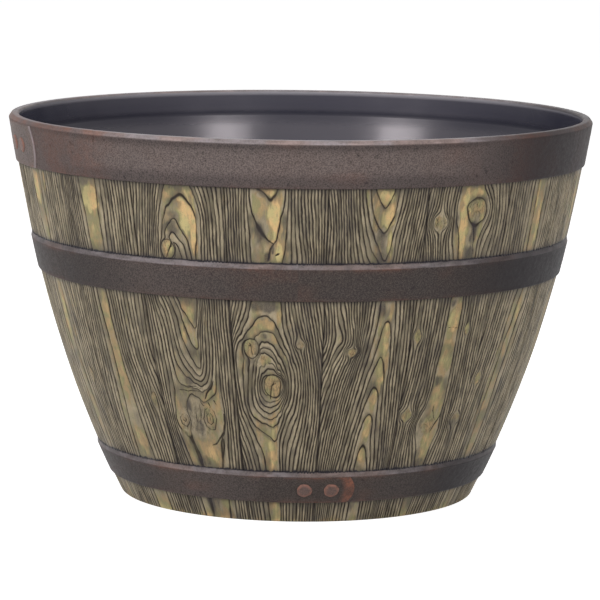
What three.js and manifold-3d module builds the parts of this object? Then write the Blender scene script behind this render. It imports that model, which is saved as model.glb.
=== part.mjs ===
// Half-barrel planter, moulded in one piece to look like a coopered oak tub, with drain plugs.
// Millimetres, +Z up, origin on the ground under the middle. The front faces -Y.
// An azimuth is measured in degrees from the front (-Y) towards +X.

import * as THREE from 'three';
import { mergeVertices } from 'three/addons/utils/BufferGeometryUtils.js';
import Module from 'manifold-3d';

const wasm = await Module();
wasm.setup();

// ---- Driving dimensions ----

// Overall form
const HEIGHT = 339;
const RIM_DIAMETER = 520;
const FOOT_DIAMETER = 316;
const LEAN_AT_FOOT = 27; // degrees outwards from upright
const LEAN_AT_RIM = 9.2;

// Wall, mouth, floor and foot ring
const WALL = 5.5;
const RIM_THICKNESS = 9.2;
const RIM_BEVEL_WIDTH = 3;
const RIM_BEVEL_HEIGHT = 3.7;
const RIM_INNER_ROUND = 2;
const COLLAR_DEPTH = 20; // the upright band just inside the mouth
const COLLAR_STEP = 1.15; // how far the collar's foot stands in from the mouth
const COLLAR_STEP_HEIGHT = 3.5; // the shallow step, below the collar
const COLLAR_BLEND = 11; // where the step has run out into the wall, below the collar
const COLLAR_BLEND_BEND = 4.2;
const FLOOR_THICKNESS = 5;
const FLOOR_CLEARANCE = 10; // from the ground to the underside of the floor
const INNER_CORNER = 14;
const FOOT_THICKNESS = 8;
const FOOT_ROUND = 2.5;
const FOOT_ROUND_MIDDLE = 0.3; // share of the round at which its middle corner lies, each way

// Staves
const STAVE_COUNT = 18;
const FIRST_JOINT_AZIMUTH = 5.5;
const JOINT_WIDTH = 3.2;
const JOINT_DEPTH = 2;

// Hoops, each proud of the staves and sloping back to them along its upper edge
const HOOP_RELIEF = 1.7;
const HOOP_BEVEL_HEIGHT = 4.5;
const TOP_HOOP_HEIGHT = 40.5;
const MIDDLE_HOOP_BOTTOM = 202;
const MIDDLE_HOOP_HEIGHT = 32;
const LOWER_HOOP_BOTTOM = 19;
const LOWER_HOOP_HEIGHT = 28.5;

// The lapped end of each hoop and its two rivet heads
const LAP_RELIEF = 1.2;
const LAP_LENGTH = 78;
const LAP_FADE = 26; // over this length the hidden end sinks into the hoop
const LAP_END_BULGE = 5;
const TOP_LAP_AZIMUTH = -63.8;
const MIDDLE_LAP_AZIMUTH = 163;
const LOWER_LAP_AZIMUTH = 14.9;
const RIVET_DIAMETER = 13;
const RIVET_HEIGHT = 1.3;
const RIVET_END_DISTANCE = 15.5; // from the lap's end to the middle of its first rivet
const TOP_RIVET_END_DISTANCE = 24.5;
const RIVET_PITCH = 23;

// Stiffening under the floor
const RIB_COUNT = 8;
const RIB_THICKNESS = 3;
const RIB_DEPTH = 6;
const HUB_DIAMETER = 44;
const HUB_BORE = 32;

// Drain holes and their plugs
const DRAIN_COUNT = 4;
const DRAIN_DIAMETER = 20;
const DRAIN_RING_RADIUS = 96;
const FIRST_DRAIN_AZIMUTH = 22.5;
const CLEARANCE = 0.3;
const FLANGE_OVERHANG = 4;
const FLANGE_THICKNESS = 2.2;
const FLANGE_BEVEL = 0.8;
const PLUG_NOSE_LENGTH = 3.5;
const PLUG_NOSE_TAPER = 1.6;
const PLUG_WALL = 2.4;
const TAB_WIDTH = 12;
const TAB_HEIGHT = 8;
const TAB_THICKNESS = 3;

// Facets
const COLUMNS_PER_STAVE = 5;
const STAVE_ROW_PITCH = 22;
const HOOP_ROWS = 1;
const INNER_SEGMENTS = 64;
const INNER_ROWS = 8;
const LAP_COLUMNS = 10;
const LAP_ROWS = 5;
const ROUND_SEGMENTS = 20;
const CORNER_DIVISIONS = 3;

// ---- Sizes that follow ----

const RIM_RADIUS = RIM_DIAMETER / 2;
const FOOT_RADIUS = FOOT_DIAMETER / 2;
const FOOT_INNER_RADIUS = FOOT_RADIUS - FOOT_THICKNESS;
const MOUTH_RADIUS = RIM_RADIUS - RIM_THICKNESS;
const STAVE_TOP = HEIGHT - RIM_BEVEL_HEIGHT;
const COLLAR_BOTTOM = HEIGHT - COLLAR_DEPTH;
const FLOOR_TOP = FLOOR_CLEARANCE + FLOOR_THICKNESS;
const DRAIN_RADIUS = DRAIN_DIAMETER / 2;
const OVERRUN = 1; // how far a cutter or a joined piece passes the surface it meets

const { degToRad, radToDeg, lerp, clamp } = THREE.MathUtils;

// The face of the staves as radius (x) against height (y). Its handles lie at a third and two
// thirds of the height, so height runs evenly along it.
const rise = STAVE_TOP / 3;
const staveTopRadius = RIM_RADIUS - HOOP_RELIEF;
const staveFace = new THREE.CubicBezierCurve(
  new THREE.Vector2(FOOT_RADIUS, 0),
  new THREE.Vector2(FOOT_RADIUS + rise * Math.tan(degToRad(LEAN_AT_FOOT)), rise),
  new THREE.Vector2(staveTopRadius - rise * Math.tan(degToRad(LEAN_AT_RIM)), 2 * rise),
  new THREE.Vector2(staveTopRadius, STAVE_TOP),
);

function staveRadius(z) {
  return staveFace.getPoint(z / STAVE_TOP).x;
}

// Radians outwards from upright
function staveLean(z) {
  const along = staveFace.getTangent(clamp(z / STAVE_TOP, 0, 1));
  return Math.atan2(along.x, along.y);
}

// The inner face of the wall at height z, one wall thickness square in from the staves
function innerRadius(z) {
  return staveRadius(z) - WALL / Math.cos(staveLean(z));
}

const hoops = [
  {
    bottom: HEIGHT - TOP_HOOP_HEIGHT,
    faceTop: STAVE_TOP,
    top: HEIGHT,
    topRadius: RIM_RADIUS - RIM_BEVEL_WIDTH,
    lapAzimuth: TOP_LAP_AZIMUTH,
    rivetDistance: TOP_RIVET_END_DISTANCE,
  },
  {
    bottom: MIDDLE_HOOP_BOTTOM,
    faceTop: MIDDLE_HOOP_BOTTOM + MIDDLE_HOOP_HEIGHT - HOOP_BEVEL_HEIGHT,
    top: MIDDLE_HOOP_BOTTOM + MIDDLE_HOOP_HEIGHT,
    topRadius: staveRadius(MIDDLE_HOOP_BOTTOM + MIDDLE_HOOP_HEIGHT),
    lapAzimuth: MIDDLE_LAP_AZIMUTH,
    rivetDistance: RIVET_END_DISTANCE,
  },
  {
    bottom: LOWER_HOOP_BOTTOM,
    faceTop: LOWER_HOOP_BOTTOM + LOWER_HOOP_HEIGHT - HOOP_BEVEL_HEIGHT,
    top: LOWER_HOOP_BOTTOM + LOWER_HOOP_HEIGHT,
    topRadius: staveRadius(LOWER_HOOP_BOTTOM + LOWER_HOOP_HEIGHT),
    lapAzimuth: LOWER_LAP_AZIMUTH,
    rivetDistance: RIVET_END_DISTANCE,
  },
];

// ---- Helpers ----

function toSolid(geometry) {
  const bare = geometry.clone();
  bare.deleteAttribute('normal');
  bare.deleteAttribute('uv');
  const merged = mergeVertices(bare, 1e-4);
  const corners = merged.index.array;
  const triVerts = [];
  for (let i = 0; i < corners.length; i += 3) {
    const [a, b, c] = corners.slice(i, i + 3);
    if (a !== b && b !== c && c !== a) {
      triVerts.push(a, b, c);
    }
  }
  return new wasm.Manifold(
    new wasm.Mesh({
      numProp: 3,
      vertProperties: new Float32Array(merged.attributes.position.array),
      triVerts: new Uint32Array(triVerts),
    }),
  );
}

function toMesh(name, solid, material) {
  const { vertProperties, triVerts } = solid.getMesh();
  const shared = new THREE.BufferGeometry();
  shared.setAttribute('position', new THREE.BufferAttribute(vertProperties, 3));
  shared.setIndex(new THREE.BufferAttribute(triVerts, 1));
  const geometry = shared.toNonIndexed();
  geometry.computeVertexNormals();
  const mesh = new THREE.Mesh(geometry, material);
  mesh.name = name;
  return mesh;
}

// Turns an outline of (radius, height) points about Z, anticlockwise with the material inside it
function turn(points, segments) {
  return new THREE.LatheGeometry(points, segments).rotateX(Math.PI / 2);
}

// Calls make with each azimuth of a ring of equal pieces
function ring(count, firstAzimuth, make) {
  return Array.from({ length: count }, (_, i) => make(firstAzimuth + (i * 360) / count));
}

// ---- Shell ----

// Outer outline from the ground up to the mouth. Rows on the staves are parted by the joints.
function outerRows() {
  const rows = [];
  const addRow = (radius, height, onStaves) => rows.push({ radius, height, onStaves });
  addRow(FOOT_RADIUS - FOOT_ROUND, 0, true);
  const inset = FOOT_ROUND * FOOT_ROUND_MIDDLE;
  addRow(FOOT_RADIUS - inset, inset, true);
  let woodFrom = FOOT_ROUND;
  for (const { bottom, faceTop, top, topRadius } of [...hoops].reverse()) {
    const count = Math.max(1, Math.round((bottom - woodFrom) / STAVE_ROW_PITCH));
    for (let row = 0; row <= count; row += 1) {
      const z = lerp(woodFrom, bottom, row / count);
      addRow(staveRadius(z), z, true);
    }
    for (let row = 0; row <= HOOP_ROWS; row += 1) {
      const z = lerp(bottom, faceTop, row / HOOP_ROWS);
      addRow(staveRadius(z) + HOOP_RELIEF, z, false);
    }
    addRow(topRadius, top, false);
    woodFrom = top;
  }
  return rows;
}

// Columns lie on each joint, on both its edges and evenly across each stave. The column on a
// joint runs in to its bottom.
function makeBody() {
  const rows = outerRows();
  const points = rows.map(({ radius, height }) => new THREE.Vector2(radius, height));
  const outline = [new THREE.Vector2(0, 0), ...points, new THREE.Vector2(0, HEIGHT)];
  const body = turn(outline, STAVE_COUNT * COLUMNS_PER_STAVE);
  const corners = body.attributes.position;
  const staveAngle = (2 * Math.PI) / STAVE_COUNT;
  for (let i = 0; i < corners.count; i += 1) {
    const row = rows[(i % outline.length) - 1];
    if (row) {
      const column = Math.floor(i / outline.length);
      const stave = Math.floor(column / COLUMNS_PER_STAVE);
      const place = column % COLUMNS_PER_STAVE;
      const edge = JOINT_WIDTH / 2 / row.radius;
      const across = (place - 1) / (COLUMNS_PER_STAVE - 2);
      const within = place === 0 ? 0 : lerp(edge, staveAngle - edge, across);
      const angle = degToRad(FIRST_JOINT_AZIMUTH) + stave * staveAngle + within;
      const radius = place === 0 && row.onStaves ? row.radius - JOINT_DEPTH : row.radius;
      corners.setXYZ(i, radius * Math.sin(angle), -radius * Math.cos(angle), row.height);
    }
  }
  return toSolid(body);
}

// The inside, down to the rounded corner of the floor
function makeCavity() {
  const outline = new THREE.Path();
  const floorEdge = innerRadius(FLOOR_TOP);
  const wallBottom = FLOOR_TOP + INNER_CORNER;
  const wallTop = COLLAR_BOTTOM - COLLAR_BLEND;
  outline.moveTo(0, FLOOR_TOP);
  outline.lineTo(floorEdge - INNER_CORNER, FLOOR_TOP);
  outline.quadraticCurveTo(floorEdge, FLOOR_TOP, innerRadius(wallBottom), wallBottom);
  for (let row = 1; row <= INNER_ROWS; row += 1) {
    const z = lerp(wallBottom, wallTop, row / INNER_ROWS);
    outline.lineTo(innerRadius(z), z);
  }
  const bend = wallTop + COLLAR_BLEND_BEND;
  const stepRadius = MOUTH_RADIUS - COLLAR_STEP;
  outline.quadraticCurveTo(innerRadius(bend), bend, stepRadius, COLLAR_BOTTOM - COLLAR_STEP_HEIGHT);
  outline.lineTo(stepRadius, COLLAR_BOTTOM);
  outline.lineTo(MOUTH_RADIUS, HEIGHT - RIM_INNER_ROUND);
  outline.quadraticCurveTo(MOUTH_RADIUS, HEIGHT, MOUTH_RADIUS + RIM_INNER_ROUND, HEIGHT);
  outline.lineTo(MOUTH_RADIUS + RIM_INNER_ROUND, HEIGHT + OVERRUN);
  outline.lineTo(0, HEIGHT + OVERRUN);
  return toSolid(turn(outline.getPoints(CORNER_DIVISIONS), INNER_SEGMENTS));
}

// The hollow under the floor, inside the foot ring
function makeUnderside() {
  const height = FLOOR_CLEARANCE + OVERRUN;
  const drum = new THREE.CylinderGeometry(
    FOOT_INNER_RADIUS,
    FOOT_INNER_RADIUS,
    height,
    INNER_SEGMENTS,
  );
  return toSolid(drum.rotateX(Math.PI / 2).translate(0, 0, height / 2 - OVERRUN));
}

// The overlapping end of a hoop: a strip bent round it, with a rounded end towards +azimuth
function makeLap({ bottom, faceTop, lapAzimuth }) {
  const strip = new THREE.BoxGeometry(1, 1, 1, LAP_COLUMNS, LAP_ROWS, 1);
  const shoulder = faceTop - LAP_RELIEF;
  const shoulderRow = 1 - 1 / LAP_ROWS;
  const corners = strip.attributes.position;
  for (let i = 0; i < corners.count; i += 1) {
    const along = corners.getX(i) + 0.5;
    const up = corners.getY(i) + 0.5;
    const outside = corners.getZ(i) > 0;
    const onTopEdge = up > shoulderRow + 1e-6;
    const z = onTopEdge ? faceTop : lerp(bottom, shoulder, up / shoulderRow);
    const bulge = LAP_END_BULGE * (1 - (2 * up - 1) ** 2);
    const reach = along * (LAP_LENGTH + bulge) - LAP_LENGTH;
    const fade = clamp((along * LAP_LENGTH) / LAP_FADE, 0, 1);
    const relief = onTopEdge ? 0 : LAP_RELIEF * fade;
    const faceRadius = staveRadius(z) + HOOP_RELIEF;
    const radius = faceRadius + (outside ? relief : -HOOP_RELIEF);
    const angle = degToRad(lapAzimuth) + reach / faceRadius;
    corners.setXYZ(i, radius * Math.sin(angle), -radius * Math.cos(angle), z);
  }
  return toSolid(strip);
}

function makeRivet({ bottom, faceTop, lapAzimuth }, endDistance) {
  const radius = RIVET_DIAMETER / 2;
  const head = new THREE.Path();
  head.moveTo(0, -LAP_RELIEF);
  head.lineTo(radius, -LAP_RELIEF);
  head.lineTo(radius, RIVET_HEIGHT / 2);
  head.quadraticCurveTo(radius - RIVET_HEIGHT, RIVET_HEIGHT, 0, RIVET_HEIGHT);
  const z = (bottom + faceTop) / 2;
  const faceRadius = staveRadius(z) + HOOP_RELIEF;
  const azimuth = lapAzimuth - radToDeg(endDistance / faceRadius);
  const rivet = turn(head.getPoints(CORNER_DIVISIONS), ROUND_SEGMENTS);
  rivet.rotateX(Math.PI / 2 + staveLean(z));
  rivet.translate(0, -(faceRadius + LAP_RELIEF), z);
  return toSolid(rivet.rotateZ(degToRad(azimuth)));
}

function makeRib(azimuth) {
  const inner = (HUB_DIAMETER + HUB_BORE) / 4;
  const length = FOOT_INNER_RADIUS + OVERRUN - inner;
  const rib = new THREE.BoxGeometry(RIB_THICKNESS, length, RIB_DEPTH + OVERRUN);
  rib.translate(0, -(inner + length / 2), FLOOR_CLEARANCE + (OVERRUN - RIB_DEPTH) / 2);
  return toSolid(rib.rotateZ(degToRad(azimuth)));
}

function makeHub() {
  const low = FLOOR_CLEARANCE - RIB_DEPTH;
  const high = FLOOR_CLEARANCE + OVERRUN;
  const section = [
    new THREE.Vector2(HUB_BORE / 2, low),
    new THREE.Vector2(HUB_DIAMETER / 2, low),
    new THREE.Vector2(HUB_DIAMETER / 2, high),
    new THREE.Vector2(HUB_BORE / 2, high),
  ];
  return toSolid(turn([...section, section[0]], ROUND_SEGMENTS));
}

function makeDrainHole(azimuth) {
  const depth = FLOOR_THICKNESS + 2 * OVERRUN;
  const drill = new THREE.CylinderGeometry(DRAIN_RADIUS, DRAIN_RADIUS, depth, ROUND_SEGMENTS);
  drill.rotateX(Math.PI / 2);
  drill.translate(0, -DRAIN_RING_RADIUS, (FLOOR_CLEARANCE + FLOOR_TOP) / 2);
  return toSolid(drill.rotateZ(degToRad(azimuth)));
}

function makeShell() {
  const additions = [
    ...hoops.map(makeLap),
    ...hoops.map((hoop) => makeRivet(hoop, hoop.rivetDistance)),
    ...hoops.map((hoop) => makeRivet(hoop, hoop.rivetDistance + RIVET_PITCH)),
    ...ring(RIB_COUNT, 0, makeRib),
    makeHub(),
  ];
  const drainHoles = ring(DRAIN_COUNT, FIRST_DRAIN_AZIMUTH, makeDrainHole);
  let shell = makeBody().subtract(makeCavity()).subtract(makeUnderside());
  for (const addition of additions) {
    shell = shell.add(addition);
  }
  for (const hole of drainHoles) {
    shell = shell.subtract(hole);
  }
  return shell;
}

// ---- Drain plugs ----

// A soft cup that drops into its hole from above, with a flange on the floor and a pull tab
function makePlug(azimuth) {
  const bodyRadius = DRAIN_RADIUS - CLEARANCE;
  const noseRadius = bodyRadius - PLUG_NOSE_TAPER;
  const hollowRadius = noseRadius - PLUG_WALL;
  const flangeRadius = DRAIN_RADIUS + FLANGE_OVERHANG;
  const seat = FLOOR_TOP + CLEARANCE;
  const flangeTop = seat + FLANGE_THICKNESS;
  const noseTop = FLOOR_CLEARANCE;
  const noseBottom = noseTop - PLUG_NOSE_LENGTH;
  const outline = [
    [0, flangeTop - PLUG_WALL],
    [hollowRadius, flangeTop - PLUG_WALL],
    [hollowRadius, noseBottom],
    [noseRadius, noseBottom],
    [bodyRadius, noseTop],
    [bodyRadius, seat],
    [flangeRadius, seat],
    [flangeRadius, flangeTop - FLANGE_BEVEL],
    [flangeRadius - FLANGE_BEVEL, flangeTop],
    [0, flangeTop],
  ];
  const points = outline.map(([radius, z]) => new THREE.Vector2(radius, z));
  const cup = toSolid(turn(points, ROUND_SEGMENTS).translate(0, -DRAIN_RING_RADIUS, 0));

  const corner = TAB_WIDTH / 2;
  const side = new THREE.Shape();
  side.moveTo(-corner, -OVERRUN);
  side.lineTo(corner, -OVERRUN);
  side.lineTo(corner, TAB_HEIGHT - corner);
  side.absarc(0, TAB_HEIGHT - corner, corner, 0, Math.PI);
  side.closePath();
  const tab = new THREE.ExtrudeGeometry(side, {
    depth: TAB_THICKNESS,
    bevelEnabled: false,
    curveSegments: ROUND_SEGMENTS / 2,
  });
  tab.translate(0, 0, -TAB_THICKNESS / 2);
  tab.rotateX(Math.PI / 2);
  tab.translate(0, -DRAIN_RING_RADIUS, flangeTop);
  return cup.add(toSolid(tab)).rotate([0, 0, azimuth]);
}

// ---- Assembly ----

const shellMaterial = new THREE.MeshStandardMaterial({
  name: 'painted_resin',
  color: 0x7d7058,
  roughness: 0.7,
  metalness: 0,
});

const planter = new THREE.Group();
planter.name = 'barrel_planter';
planter.add(toMesh('planter_shell', makeShell(), shellMaterial));
ring(DRAIN_COUNT, FIRST_DRAIN_AZIMUTH, makePlug).forEach((plug, i) => {
  const plugMaterial = new THREE.MeshStandardMaterial({
    name: 'soft_plastic',
    color: 0x25272b,
    roughness: 0.55,
    metalness: 0,
  });
  planter.add(toMesh(`drain_plug_${i + 1}`, plug, plugMaterial));
});

export default planter;
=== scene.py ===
"""Looks of the half-barrel planter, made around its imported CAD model.

Lengths are in millimetres until a mesh is made. An azimuth is in degrees from the front (-Y)
towards +X. Every piece stands where the CAD solid has it.
"""

import math

import bpy
import numpy as np
from mathutils import Matrix


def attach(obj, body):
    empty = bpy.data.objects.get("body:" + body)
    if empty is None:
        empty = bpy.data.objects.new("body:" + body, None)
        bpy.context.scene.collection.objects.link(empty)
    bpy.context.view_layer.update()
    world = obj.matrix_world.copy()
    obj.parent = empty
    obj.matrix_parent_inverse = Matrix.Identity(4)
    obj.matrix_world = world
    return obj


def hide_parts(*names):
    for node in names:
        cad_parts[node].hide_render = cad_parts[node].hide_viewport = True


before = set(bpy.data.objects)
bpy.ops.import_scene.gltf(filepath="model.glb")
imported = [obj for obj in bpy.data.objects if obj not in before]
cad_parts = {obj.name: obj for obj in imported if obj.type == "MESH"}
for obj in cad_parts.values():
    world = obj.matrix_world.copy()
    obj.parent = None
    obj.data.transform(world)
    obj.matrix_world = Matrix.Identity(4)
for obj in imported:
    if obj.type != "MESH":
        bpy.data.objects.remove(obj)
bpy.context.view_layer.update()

# ---- Sizes, as in the CAD source ----

HEIGHT = 339.0
RIM_RADIUS = 260.0
FOOT_RADIUS = 158.0
LEAN_AT_FOOT = math.radians(27)
LEAN_AT_RIM = math.radians(9.2)
WALL = 5.5
RIM_THICKNESS = 9.2
RIM_BEVEL_WIDTH = 3.0
RIM_BEVEL_HEIGHT = 3.7
RIM_INNER_ROUND = 2.0
COLLAR_DEPTH = 20.0
COLLAR_STEP = 1.15
COLLAR_STEP_HEIGHT = 3.5
COLLAR_BLEND = 11.0
COLLAR_BLEND_BEND = 4.2
FLOOR_BOTTOM = 10.0
FLOOR_TOP = 15.0
INNER_CORNER = 14.0
FOOT_INNER_RADIUS = 150.0
STAVE_COUNT = 18
FIRST_JOINT_AZIMUTH = 5.5
JOINT_DEPTH = 2.0
HOOP_RELIEF = 1.7
HOOP_BEVEL_HEIGHT = 4.5
LAP_RELIEF = 1.2
LAP_LENGTH = 78.0
LAP_FADE = 26.0
LAP_END_BULGE = 5.0
RIVET_RADIUS = 6.5
RIVET_HEIGHT = 1.3
RIVET_END_DISTANCE = 15.5
TOP_RIVET_END_DISTANCE = 24.5
RIVET_PITCH = 23.0
RIB_COUNT = 8
RIB_THICKNESS = 3.0
RIB_DEPTH = 6.0
HUB_RADIUS = 22.0
HUB_BORE_RADIUS = 16.0
DRAIN_COUNT = 4
DRAIN_RADIUS = 10.0
DRAIN_RING_RADIUS = 96.0
FIRST_DRAIN_AZIMUTH = 22.5

STAVE_TOP = HEIGHT - RIM_BEVEL_HEIGHT
MOUTH_RADIUS = RIM_RADIUS - RIM_THICKNESS
COLLAR_BOTTOM = HEIGHT - COLLAR_DEPTH
STAVE_ANGLE = 360.0 / STAVE_COUNT

# name: bottom, top of the upright face, top, azimuth of the lap's end
HOOPS = {
    "top": (HEIGHT - 40.5, STAVE_TOP, HEIGHT, -63.8),
    "middle": (202.0, 234.0 - HOOP_BEVEL_HEIGHT, 234.0, 163.0),
    "lower": (19.0, 47.5 - HOOP_BEVEL_HEIGHT, 47.5, 14.9),
}

# ---- Sizes that only the looks have ----

STAVE_COLUMNS = 150
ROW_PITCH = 0.9
STAVE_GAP = math.degrees(0.05 / 200)    # from a stave to its joint, in degrees
BACK_COLUMNS = 5
BACK_DEPTH = 3.0                        # how far a stave's plain back lies behind its face
FOOT_EDGE = 1.2                         # round of the staves' lower edge
JOINT_ROUND = 1.7                       # round of a stave's upright edges
CORE_DEPTH = 2.6                        # from the staves' face to the core under them
CORE_COLUMNS = 320
CORE_FLOOR_RADII = (1.0, 60, 110)
HOOP_COLUMNS = 960
HOOP_DEPTH = 3.2                        # from the staves' face to a hoop's hidden back
HOOP_UNROLL = 230                       # radius at which the hoops' patterns are laid out flat
LAP_ROWS, LAP_COLUMNS = 60, 170
LAP_DEPTH = 1.2                         # from a hoop's face to a lap's hidden back
RIVET_COLUMNS = 48
RIB_EDGE = 0.4                          # bevel of the ribs' edges
HUB_COLUMNS = 64
DRILL_COLUMNS = 64
DRILL_LENGTH = 12.0


def stave_radius(z):
    s = np.clip(np.asarray(z, float) / STAVE_TOP, 0, 1.02)
    rise = STAVE_TOP / 3
    top = RIM_RADIUS - HOOP_RELIEF
    p1 = FOOT_RADIUS + rise * math.tan(LEAN_AT_FOOT)
    p2 = top - rise * math.tan(LEAN_AT_RIM)
    q = 1 - s
    return q**3 * FOOT_RADIUS + 3 * q * q * s * p1 + 3 * q * s * s * p2 + s**3 * top


def stave_lean(z):
    return np.arctan(stave_radius(z + 0.5) - stave_radius(z - 0.5))


def inner_radius(z):
    return stave_radius(z) - WALL / np.cos(stave_lean(z))


def hoop_face(z):
    return stave_radius(z) + HOOP_RELIEF


# ---- Points and outlines ----

def place(radius, azimuth, z):
    """Points in mm from radius, azimuth in degrees and height, as an (n, 3) array."""
    r, a, z = np.broadcast_arrays(radius, np.radians(azimuth), z)
    return np.stack([r * np.sin(a), -r * np.cos(a), z], -1).reshape(-1, 3)


def turn_about_z(points, azimuth):
    c, s = math.cos(math.radians(azimuth)), math.sin(math.radians(azimuth))
    return points @ np.array([[c, -s, 0], [s, c, 0], [0, 0, 1]]).T


def wall_points(radius_at, heights, inset=0.0):
    return [(float(radius_at(z)) - inset, float(z)) for z in heights]


def straight(p, q, shares):
    return [(p[0] + (q[0] - p[0]) * s, p[1] + (q[1] - p[1]) * s) for s in shares]


def curve(start, bend, end, shares):
    start, bend, end = np.array(start), np.array(bend), np.array(end)
    return [tuple((1 - s) ** 2 * start + 2 * s * (1 - s) * bend + s * s * end) for s in shares]


def arc(centre, radius, start, stop):
    angles = np.radians(np.linspace(start, stop, 5))
    return [(centre[0] + radius * math.cos(a), centre[1] + radius * math.sin(a)) for a in angles]


# ---- Small tools for fields ----

def smooth(low, high, x):
    t = np.clip((x - low) / (high - low), 0.0, 1.0)
    return t * t * (3.0 - 2.0 * t)


def fade(distance, reach):
    """1 as far as distance 0, and beyond it falling away."""
    return np.exp(-np.clip(distance, 0, 99) / reach)


def dome(x):
    """The rise of a quarter circle, from 0 at x = 0 to 1 from x = 1 on."""
    return np.sqrt(np.clip(1 - (1 - np.clip(x, 0, 1)) ** 2, 0, 1))


def chance(ix, iy, seed):
    n = ix.astype(np.int64) * 374761393 + iy.astype(np.int64) * 668265263 + seed * 974634777
    n = n & 0x7FFFFFFF
    n = ((n ^ (n >> 13)) * 1274126177) & 0x7FFFFFFF
    return ((n ^ (n >> 16)) & 0xFFFF) / 65535.0


def noise(x, y, seed):
    """Smooth value noise from -1 to 1."""
    x, y = np.broadcast_arrays(x, y)
    ix, iy = np.floor(x), np.floor(y)
    fx, fy = x - ix, y - iy
    fx, fy = fx * fx * (3 - 2 * fx), fy * fy * (3 - 2 * fy)
    low = chance(ix, iy, seed) * (1 - fx) + chance(ix + 1, iy, seed) * fx
    high = chance(ix, iy + 1, seed) * (1 - fx) + chance(ix + 1, iy + 1, seed) * fx
    return 2 * (low * (1 - fy) + high * fy) - 1


# ---- Meshes ----

def strip(p, q):
    """Faces between two rows of point numbers."""
    return np.stack([p[:-1], p[1:], q[1:], q[:-1]], -1)


def grid_quads(rows, columns, start=0, closed=False):
    """Faces of a grid whose columns run with the azimuth and rows upwards, facing outwards."""
    index = start + np.arange(rows * columns).reshape(rows, columns)
    if closed:
        index = np.concatenate([index, index[:, :1]], 1)
    corners = [index[:-1, :-1], index[:-1, 1:], index[1:, 1:], index[1:, :-1]]
    return np.stack(corners, -1).reshape(-1, 4)


def ring_quads(rows, columns, start=0):
    """Faces of a closed ring: a grid all round, and the strip from its last row to its first."""
    index = start + np.arange(rows * columns).reshape(rows, columns)
    closing = strip(np.append(index[-1], index[-1, 0]), np.append(index[0], index[0, 0]))
    return np.concatenate([grid_quads(rows, columns, start, closed=True), closing])


def side_quads(front, back):
    """Faces at the left and the right edge, between a front and a back grid of point numbers."""
    return [np.stack([back[:-1, 0], front[:-1, 0], front[1:, 0], back[1:, 0]], -1),
            np.stack([front[:-1, -1], back[:-1, -1], back[1:, -1], front[1:, -1]], -1)]


def make_object(name, points, quads, material, polygons=(), flat_from=None, fields=None):
    """A mesh piece from points in mm. Quads from flat_from on, and all polygons, aren't smooth.

    Fields are values at the points, and 0 at the points that they don't reach.
    """
    mesh = bpy.data.meshes.new(name)
    sizes = np.array([4] * len(quads) + [len(p) for p in polygons], np.int32)
    loops = np.concatenate([np.asarray(quads).ravel(), *polygons]).astype(np.int32)
    mesh.vertices.add(len(points))
    mesh.vertices.foreach_set("co", (np.asarray(points) / 1000).astype(np.float32).ravel())
    mesh.loops.add(len(loops))
    mesh.loops.foreach_set("vertex_index", loops)
    mesh.polygons.add(len(sizes))
    mesh.polygons.foreach_set("loop_start", (np.cumsum(sizes) - sizes).astype(np.int32))
    smooth_count = len(quads) if flat_from is None else flat_from
    mesh.polygons.foreach_set("use_smooth", np.arange(len(sizes)) < smooth_count)
    mesh.update(calc_edges=True)
    for key, values in (fields or {}).items():
        kind, part, width = {"grain": ("FLOAT_VECTOR", "vector", 3)}.get(key, ("FLOAT", "value", 1))
        data = np.zeros(len(points) * width, np.float32)
        data[: np.size(values)] = np.ravel(values)
        mesh.attributes.new(key, kind, "POINT").data.foreach_set(part, data)
    mesh.validate()
    mesh.materials.append(material)
    piece = bpy.data.objects.new(name, mesh)
    bpy.context.scene.collection.objects.link(piece)
    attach(piece, "planter")
    return piece


def apply_modifier(piece, kind, **settings):
    modifier = piece.modifiers.new(kind.lower(), kind)
    for key, value in settings.items():
        setattr(modifier, key, value)
    bpy.context.view_layer.objects.active = piece
    bpy.ops.object.modifier_apply(modifier=modifier.name)


# ---- Node trees ----

class Output:
    """An output socket that can be added, taken away, multiplied and divided."""

    def __init__(self, graph, socket):
        self.graph, self.socket = graph, socket

    def __add__(self, other):
        return self.graph.math("ADD", self, other)

    def __sub__(self, other):
        return self.graph.math("SUBTRACT", self, other)

    def __rsub__(self, other):
        return self.graph.math("SUBTRACT", other, self)

    def __mul__(self, other):
        return self.graph.math("MULTIPLY", self, other)

    def __truediv__(self, other):
        return self.graph.math("DIVIDE", self, other)


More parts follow.
